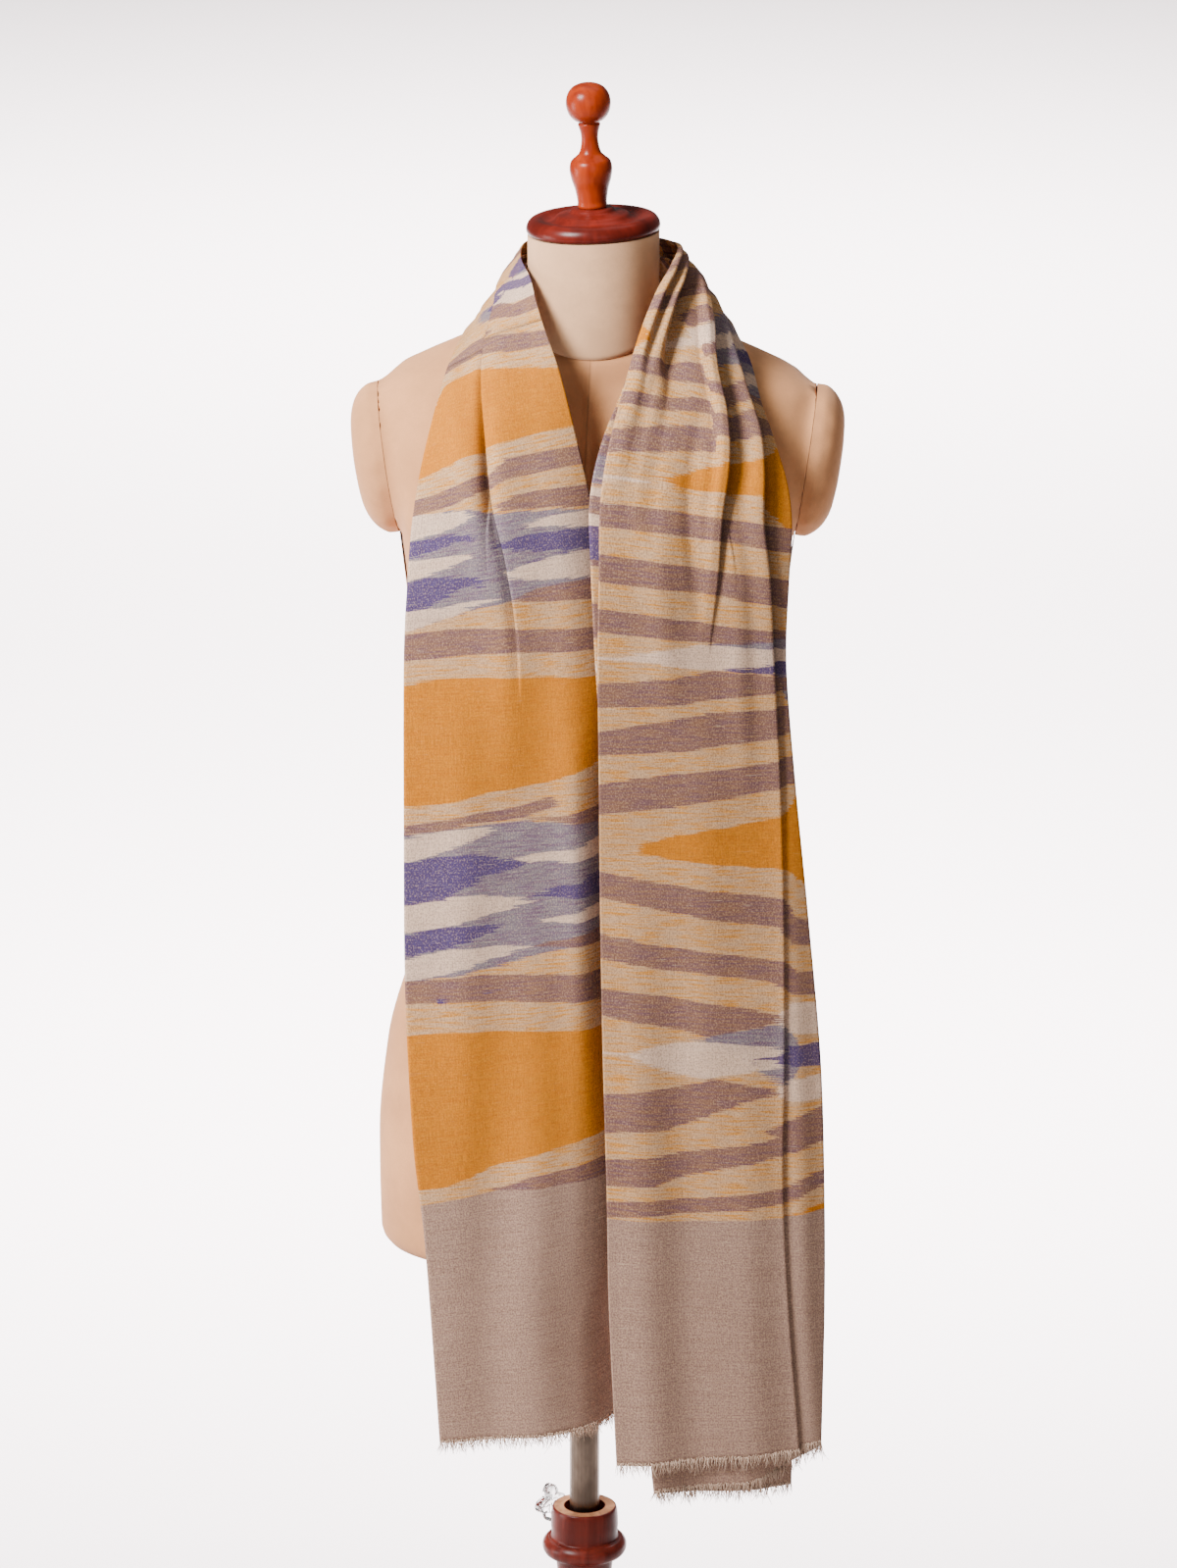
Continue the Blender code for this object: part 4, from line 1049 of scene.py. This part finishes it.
def suede_material(name, colour, seam=None):
    """A short nap. A seam, in front and behind, has its x at the ground and its slope."""
    n = Nodes(name)
    place = n.place()
    cloud = n.noise(place, (9, 9, 9), detail=6, roughness=0.66)
    grain = n.noise(place, (900, 900, 900), detail=1)
    own = n.mix(n.step(cloud, 0.3, 0.7), shaded(colour, 0.78), shaded(colour, 1.1))
    own = n.mix(n.times(n.step(grain, 0.35, 0.7), 0.25), own, shaded(colour, 0.8))
    height = n.times(grain, 0.3)
    if seam:
        at, slope = seam
        split = n.fill("SeparateXYZ", place)
        line = n.times(split["Z"], slope, at)
        off = n.fill("Math", n.minus(split["X"], line), operation="ABSOLUTE")[0]
        near = n.minus(1, n.step(off, *SEAM_DARK))
        own = n.mix(n.times(near, 0.5), own, shaded(colour, 0.42))
        height = n.plus(height, n.times(n.step(off, *SEAM_PUFF), 2.2))
    n.bump(height, *NAP)
    return n.set(
        Base_Color=own, Roughness=0.95, Sheen_Weight=0.1, Sheen_Roughness=0.5,
        Specular_IOR_Level=0.15,
    )


def wood_material(name, dark, light, grain, roughness):
    n = Nodes(name)
    place = n.place()
    long_grain = n.noise(place, grain, detail=4, roughness=0.6, distortion=0.6)
    pores = n.noise(place, tuple(4.5 * s for s in grain))
    own = n.mix(n.step(long_grain, 0.3, 0.7), srgb(*dark), srgb(*light))
    own = n.mix(n.times(n.step(pores, 0.6, 0.75), 0.35), own, shaded(srgb(*dark), 0.45))
    return n.set(Base_Color=own, Roughness=roughness, Specular_IOR_Level=0.16)


def steel_material():
    n = Nodes("drawn steel")
    place = n.place()
    marks = n.noise(place, (60, 60, 25), detail=3)
    own = n.mix(n.step(marks, 0.35, 0.7), srgb(94, 82, 72), srgb(134, 118, 104))
    n.bump(n.noise(place, (1500, 1500, 12)), 0.08, 0.0004)
    return n.set(Base_Color=own, Metallic=1, Roughness=0.3)


def clear_material():
    return Nodes("clear acrylic").set(
        Base_Color=(0.96, 0.97, 0.98, 1), Roughness=0.06, Transmission_Weight=1, IOR=1.49,
    )


# ---------- building the cloth
def build_cloth(name, start, end, paint):
    plan = spline_plan(start, end)
    middles, sections, spots, lengths, painted_crease_shades = zip(*(
        cloth_surface(place, plan) for place in cloth_rows(start, end)
    ))
    middles = np.array(middles)
    # the section's own normal leans a little where the rows turn; the grid's gives the true one
    down = np.gradient(middles, axis=0)
    across = np.gradient(middles, axis=1)
    sides = np.cross(down, across)
    sides /= np.linalg.norm(sides, axis=2)[:, :, None] + TINY
    sides *= np.sign((sides * np.array(sections)).sum(axis=2))[:, :, None]
    made = closed_wall(name, middles, sides, SHELL_THICK)
    spots = np.concatenate(spots)
    lengths = np.repeat(lengths, middles.shape[1])
    found, feather = dye_distances(spots, lengths)
    depths = [found[dye] for dye in DYES]
    mesh = made.data
    set_attribute(mesh, "dyes_a", np.stack(depths[:3], axis=1))
    set_attribute(mesh, "dyes_b", np.stack(depths[3:], axis=1))
    set_attribute(mesh, "feather", feather)
    # the painted shade of the gaps under the ridges, for the material to darken the colour with
    set_attribute(mesh, "painted_crease_shade", np.concatenate(painted_crease_shades))
    set_uv(mesh, np.stack([spots * CLOTH_WIDTH, lengths], axis=1))
    mesh.materials.append(paint)
    area = sum(np.linalg.norm(np.cross(down, across), axis=2).ravel())
    length = np.interp(end, PLACES, LENGTHS) - np.interp(start, PLACES, LENGTHS)
    print(name, "triangles", 2 * len(mesh.polygons), "area", round(area, 4), "m2")
    return made, area, length, plan


def build_fringe(name, place, plan, paint):
    """Loose warp ends below a hem, one thin tapered strand each."""
    middle = cloth_surface(place, plan)[0]
    reach = np.concatenate([[0], np.cumsum(np.linalg.norm(np.diff(middle, axis=0), axis=1))])
    points = []
    faces = []
    at = 0.0
    while at < reach[-1]:
        root = np.array([np.interp(at, reach, middle[:, c]) for c in range(3)])
        root[2] += random.uniform(*ROOT_UP)
        root[1] -= random.uniform(*ROOT_FORWARD)
        share, *waves = STRAND_CLUMPS
        clump = 1 + share * math.sin(at * waves[0]) * math.sin(at * waves[1])
        length = random.uniform(*STRAND_LENGTH) * clump
        lean = np.array([random.gauss(0, spread) for spread in STRAND_LEAN] + [-1.0])
        curl = np.array([random.gauss(0, spread) for spread in STRAND_CURL] + [0.0])
        radius = STRAND_RADIUS * random.uniform(*STRAND_THICKER)
        first = len(points)
        for level, thin in STRAND_TAPER:
            centre = root + length * (lean * level + curl * level * level)
            points.extend(centre + radius * thin * np.array([c, s, 0]) for c, s, _ in around(3))
        for ring in range(3):
            for k in range(3):
                a = first + 3 * ring + k
                b = first + 3 * ring + (k + 1) % 3
                faces.extend(((a, b, b + 3), (a, b + 3, a + 3)))
        faces.append((first, first + 2, first + 1))
        faces.append((first + 9, first + 10, first + 11))
        at += STRAND_EVERY * random.uniform(*STRAND_GAPS)
    made = mesh_object(name, points, faces)
    made.data.materials.append(paint)
    return made


# ---------- building the form
def around(count):
    """The cosine, the sine and the angle of points all round."""
    angles = [2 * math.pi * k / count for k in range(count)]
    return [(math.cos(angle), math.sin(angle), angle) for angle in angles]


def circle(radius, height, count=ROUND):
    return [(radius * c, radius * s, height) for c, s, _ in around(count)]


def hermite(t, start, end, leaving, arriving):
    """From start to end as t runs from 0 to 1, with these slopes at the two."""
    return (
        (2 * t ** 3 - 3 * t * t + 1) * start + (t ** 3 - 2 * t * t + t) * leaving
        + (-2 * t ** 3 + 3 * t * t) * end + (t ** 3 - t * t) * arriving
    )


def monotone(at, heights, values):
    """A smooth curve through the values that never overshoots them."""
    gaps = np.diff(heights)
    slopes = np.diff(values) / gaps
    tangents = np.zeros(len(values))
    tangents[0], tangents[-1] = slopes[0], slopes[-1]
    for k in range(1, len(values) - 1):
        if slopes[k - 1] * slopes[k] > 0:
            w1 = 2 * gaps[k] + gaps[k - 1]
            w2 = gaps[k] + 2 * gaps[k - 1]
            tangents[k] = (w1 + w2) / (w1 / slopes[k - 1] + w2 / slopes[k])
    k = int(np.clip(np.searchsorted(heights, at) - 1, 0, len(gaps) - 1))
    t = (at - heights[k]) / gaps[k]
    return hermite(t, values[k], values[k + 1], gaps[k] * tangents[k], gaps[k] * tangents[k + 1])


FORM_TURNED = Matrix.Rotation(FORM_TURN, 3, "Z")


def plate_frame(side):
    place = Matrix.Translation((FORM_X, 0, ARM_PLATE_Z)) @ FORM_TURNED.to_4x4()
    place @= Matrix.Translation((side * ARM_PLATE_X, ARM_PLATE_Y, 0))
    return place @ Matrix.Rotation(side * ARM_PLATE_TILT, 4, "Y")


def stacked(name, rings, paint, capped=True):
    """Closes a stack of rings of equal count."""
    rings = np.asarray(rings, float)
    levels, count, _ = rings.shape
    points = rings.reshape(-1, 3)
    faces = []
    pairs = [(k, (k + 1) % count) for k in range(count)]
    for first in range(0, (levels - 1) * count, count):
        for k, after in pairs:
            a, b = first + k, first + after
            faces.extend(((a, b, b + count), (a, b + count, a + count)))
    if capped:
        centre = len(points)
        top = centre - count
        points = np.vstack([points, rings[0].mean(axis=0), rings[-1].mean(axis=0)])
        for k, after in pairs:
            faces.extend(((centre, after, k), (centre + 1, top + k, top + after)))
    made = mesh_object(name, points, faces)
    made.data.set_sharp_from_angle(angle=SHARP_ANGLE)
    made.data.materials.append(paint)
    return made


def plate_rim(angle):
    """How far the arm plate's oval reaches at this angle."""
    return 1 / math.hypot(
        math.cos(angle) / (ARM_PLATE_DEPTH / 2), math.sin(angle) / (ARM_PLATE_HEIGHT / 2),
    )


def met_by_plate(ring, side, inverse):
    """The ring, cut flat where the arm plate sits and drawn to the plate's oval just before it."""
    back = inverse.inverted()
    seen = [inverse @ point for point in ring]
    inside = [-side * p.x - PLATE_GAP for p in seen]
    made = []
    for k, (spot, depth) in enumerate(zip(seen, inside)):
        rho = math.hypot(spot.y, spot.z)
        angle = math.atan2(spot.z, spot.y)
        rim = plate_rim(angle)
        if depth < 0:
            for near in (k - 1, (k + 1) % len(ring)):
                if inside[near] >= 0:
                    spot = spot.lerp(seen[near], depth / (depth - inside[near]))
                    angle = math.atan2(spot.z, spot.y)
                    rho = rim = plate_rim(angle)
            rho = min(rho, rim)
            spot = Vector((-side * PLATE_GAP, rho * math.cos(angle), rho * math.sin(angle)))
        elif depth < PLATE_BLEND and abs(rho - rim) < PLATE_BLEND:
            rho += (1 - depth / PLATE_BLEND) ** 2 * (rim - rho)
            spot = Vector((spot.x, rho * math.cos(angle), rho * math.sin(angle)))
        made.append(back @ spot)
    return made


def near_seam(height, start):
    """0 up to the start, 1 at the neck seam."""
    return max(0.0, (height - start) / (NECK_SEAM_Z - start))


def torso_rings():
    heights, *columns = zip(*TORSO)
    levels = []
    for low, high in zip(heights, heights[1:]):
        count = max(1, int(round((high - low) / TORSO_LEVELS)))
        levels.extend(low + (high - low) * k / count for k in range(count))
    levels.append(heights[-1])
    plates = [(side, plate_frame(side).inverted()) for side in (-1, 1)]
    rings = []
    for height in levels:
        half, front, back, tilt = (monotone(height, heights, column) for column in columns)
        middle = Vector((blend(FORM_X, NECK_X, near_seam(height, NECK_FROM)), 0, height))
        power = blend(TORSO_ROUNDNESS, 2.0, near_seam(height, NECK_ROUND_FROM))
        edge = max(0.0, 1 - (heights[-1] - height) / TUCK_REACH)
        inset = FORM_INSET + TUCK * edge
        ring = []
        for c, s, _ in around(TORSO_SEGMENTS):
            x = math.copysign(abs(c) ** (2 / power), c) * (half - inset)
            y = math.copysign(abs(s) ** (2 / power), s) * ((back if s > 0 else front) - inset)
            ring.append(middle + FORM_TURNED @ Vector((x, y, tilt * y)))
        if height > PLATES_FROM:
            for side, inverse in plates:
                ring = met_by_plate(ring, side, inverse)
        rings.append([tuple(point) for point in ring])
    return rings


def plate_rings(side):
    place = plate_frame(side)
    shares, rises = zip(*ARM_PLATE_DOME)
    marks = np.linspace(0, 1, len(shares))
    rings = []
    for t in np.linspace(0, 1, PLATE_LEVELS):
        share, rise = monotone(t, marks, shares), monotone(t, marks, rises)
        out = max(ARM_PLATE_BULGE * rise, PLATE_GAP)
        gathered = PUCKER * math.exp(-((rise - PUCKER_AT) / PUCKER_REACH) ** 2)
        ring = []
        for c, s, angle in around(PLATE_SEGMENTS):
            wide = share + math.sin(angle * 13 + 1.2 * math.sin(angle * 5)) * gathered
            y, z = c * ARM_PLATE_DEPTH / 2 * wide, s * ARM_PLATE_HEIGHT / 2 * wide
            ring.append(tuple(place @ Vector((side * out, side * y, z))))
        rings.append(ring)
    return rings


def neck_rings():
    rings = []
    for level in (*NECK_FIRST_LEVELS, *np.linspace(0.06, 1.0, 14)):
        radius = NECK_RADIUS - NECK_TUCK * max(0.0, 1 - level / NECK_TUCK_REACH) + NECK_PADDING
        ring = []
        for c, s, _ in around(ROUND):
            spot = FORM_TURNED @ Vector((radius * c, radius * s, 0))
            low = NECK_SEAM_Z + NECK_SEAM_TILT * radius * s
            high = NECK_TOP_Z - SEAM_GAP + math.tan(CAP_TILT) * spot.x
            ring.append((NECK_X + spot.x, spot.y, blend(low, high, level)))
        rings.append(ring)
    return rings


def smooth_profile(profile, steps=6):
    """A finer profile on a centripetal curve through the given one, no higher than its top."""
    points = [np.array(p) for p in profile]
    fine = []
    for k in range(len(points) - 1):
        p0, p1, p2 = points[max(k - 1, 0)], points[k], points[k + 1]
        p3 = points[min(k + 2, len(points) - 1)]
        if p1[0] == 0 or p2[0] == 0:
            fine.append(p1)
            continue
        d1, d2, d3 = (
            max(np.linalg.norm(b - a), 1e-6) ** 0.5 for a, b in ((p0, p1), (p1, p2), (p2, p3))
        )
        m1 = (p1 - p0) / d1 - (p2 - p0) / (d1 + d2) + (p2 - p1) / d2
        m2 = (p2 - p1) / d2 - (p3 - p1) / (d2 + d3) + (p3 - p2) / d3
        fine.extend(hermite(n / steps, p1, p2, m1 * d2, m2 * d2) for n in range(steps))
    fine.append(points[-1])
    top = max(z for _, z in profile)
    return [(max(float(r), 0.0), min(float(z), top)) for r, z in fine]


def turned(name, profile, paint, segments=ROUND):
    rings = [circle(max(r, AXIS_HOLE), z, segments) for r, z in smooth_profile(profile)]
    return stacked(name, rings, paint)


def build_knob(paint):
    rings = []
    for depth, shrink in KNOB_SECTION:
        ring = []
        for c, s, angle in around(ROUND):
            lobe = 0.5 + 0.5 * math.cos(KNOB_ARMS * angle)
            radius = KNOB_RADIUS * blend(KNOB_WAIST, 1.0, lobe ** 0.8)
            radius -= min(shrink, radius * 0.8)
            ring.append((radius * c, radius * s, depth))
        rings.append(ring)
    made = stacked("knob_moulding", rings, paint)
    outward = Vector((math.cos(KNOB_TURN), math.sin(KNOB_TURN), 0))
    place = Matrix.Translation(outward * KNOB_STANDOFF + Vector((0, 0, KNOB_Z)))
    made.matrix_world = place @ outward.to_track_quat("Z", "Y").to_matrix().to_4x4()
    return made


def on_neck(made, lift):
    """Puts a turned piece on the tilted top of the neck, this far up."""
    tilted = Vector((-math.sin(CAP_TILT) * lift, 0, math.cos(CAP_TILT) * lift))
    made.location = Vector((NECK_X, 0, NECK_TOP_Z)) + tilted
    made.rotation_euler = (0, -CAP_TILT, 0)
    return made


# ---------- stage
def linked(name, data):
    made = bpy.data.objects.new(name, data)
    bpy.context.scene.collection.objects.link(made)
    return made


def build_stage():
    world = bpy.data.worlds.new("studio")
    bpy.context.scene.world = world
    world.use_nodes = True
    back = world.node_tree.nodes["Background"]
    back.inputs["Color"].default_value = (*WORLD_COLOUR, 1)
    back.inputs["Strength"].default_value = WORLD_POWER
    n = Nodes("paper floor")
    behind = n.fill("SeparateXYZ", n.place())["Y"]
    colour = n.mix(n.step(behind, *FLOOR_BLEND), srgb(198, 189, 188), srgb(240, 228, 229))
    mesh = bpy.data.meshes.new("floor")
    mesh.from_pydata(FLOOR_CORNERS, [], [(0, 1, 2, 3)])
    mesh.materials.append(n.set(Base_Color=colour, Roughness=0.9, Specular_IOR_Level=0.1))
    linked("floor", mesh)
    for name, at, target, size, power in LIGHTS:
        lamp = bpy.data.lights.new(name, "AREA")
        lamp.shape = "RECTANGLE"
        lamp.size, lamp.size_y = size
        lamp.energy = power
        made = linked(name, lamp)
        made.location = at
        made.rotation_euler = (Vector(target) - Vector(at)).to_track_quat("-Z", "Y").to_euler()


def build_camera():
    camera = bpy.data.cameras.new("camera")
    camera.sensor_width = SENSOR_MM
    camera.sensor_height = SENSOR_MM
    camera.sensor_fit = "VERTICAL"
    camera.lens = SENSOR_MM * FOCAL_SHARE
    camera.clip_end = 50
    made = linked("camera", camera)
    made.location = CAMERA_AT
    made.rotation_euler = (math.pi / 2 - CAMERA_DOWN, 0, 0)
    bpy.context.scene.camera = made


# ---------- assembly
def dress(made, body, node):
    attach(made, body)
    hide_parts(node)


def build_shawl():
    cloth = cloth_material()
    yarn = fringe_material()
    gap = SEAM_PLACES
    left, right, last = LEFT_END_ROW, RIGHT_END_ROW, len(EDGES) - 1
    for name, start, end, node, fringe, under in (
        ("shawl_left", 0, left - gap, "shawl_left_end", "fringe_left_end", ["torso"]),
        ("shawl_neck", left + gap, right - gap, "shawl_neck_wrap", None, ["torso", "neck_block"]),
        ("shawl_right", right + gap, last, "shawl_right_end", "fringe_right_end", ["torso"]),
    ):
        made, area, length, plan = build_cloth(name + "_cloth", start, end, cloth)
        dress(made, "form", node)
        goes_with = []
        if fringe:
            goes_with = [build_fringe(name + "_strands", 0 if start == 0 else last, plan, yarn)]
            dress(goes_with[0], "form", fringe)


def build_form():
    suede = suede_material("suede", srgb(*SUEDE), SEAM_LINE)
    plate_suede = suede_material("plate suede", srgb(*SUEDE))
    neck_suede = suede_material("neck suede", srgb(*NECK_SUEDE))
    mahogany = wood_material("mahogany", (72, 18, 12), (114, 32, 22), (30, 30, 6), 0.3)
    cherry = wood_material("stained finial", (118, 32, 10), (164, 58, 20), (40, 40, 9), 0.28)
    worn = wood_material("worn mahogany stain", (70, 21, 15), (108, 40, 30), (60, 60, 9), 0.34)
    raw = wood_material("unstained wood", (120, 78, 52), (176, 124, 88), (60, 60, 60), 0.7)
    torso = stacked("torso_cover", torso_rings(), suede)
    neck = stacked("neck_cover", neck_rings(), neck_suede)
    plate_left = stacked("plate_left_cover", plate_rings(-1), plate_suede)
    plate_right = stacked("plate_right_cover", plate_rings(1), plate_suede)
    cap = on_neck(turned("cap_turning", CAP_PROFILE, mahogany), 0)
    finial = turned("finial_turning", FINIAL_PROFILE, cherry)
    on_neck(finial, CAP_PROFILE[-1][1] + SEAM_GAP)
    column = turned("column_turning", COLUMN_PROFILE, worn)
    base = turned("base_turning", BASE_PROFILE, mahogany, BASE_SEGMENTS)
    ring = [circle(radius, COLLAR_TOP_Z + lift) for radius, lift in END_GRAIN]
    end_grain = stacked("collar_end_grain", ring, raw, capped=False)
    for made, body, node, slot in (
        (torso, "form", "torso", "suede"),
        (neck, "form", "neck_block", "neck_suede"),
        (plate_left, "form", "arm_plate_left", "suede"),
        (plate_right, "form", "arm_plate_right", "suede"),
        (cap, "form", "neck_cap", "dark_wood"),
        (finial, "form", "finial", "red_wood"),
        (column, "stand", "stand_column", "dark_wood"),
        (base, "stand", "stand_base", "dark_wood"),
        (end_grain, "stand", "stand_column", "dark_wood"),
        (build_knob(clear_material()), "knob", "clamp_knob", "clear_plastic"),
    ):
        dress(made, body, node)


def build():
    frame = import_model()
    build_shawl()
    build_form()
    steel = steel_material()
    for node in ("pole", "swivel_flange", "knob_screw"):
        frame["nodes"][node].data.materials.clear()
        frame["nodes"][node].data.materials.append(steel)
    build_stage()
    build_camera()
    bpy.context.view_layer.update()


build()
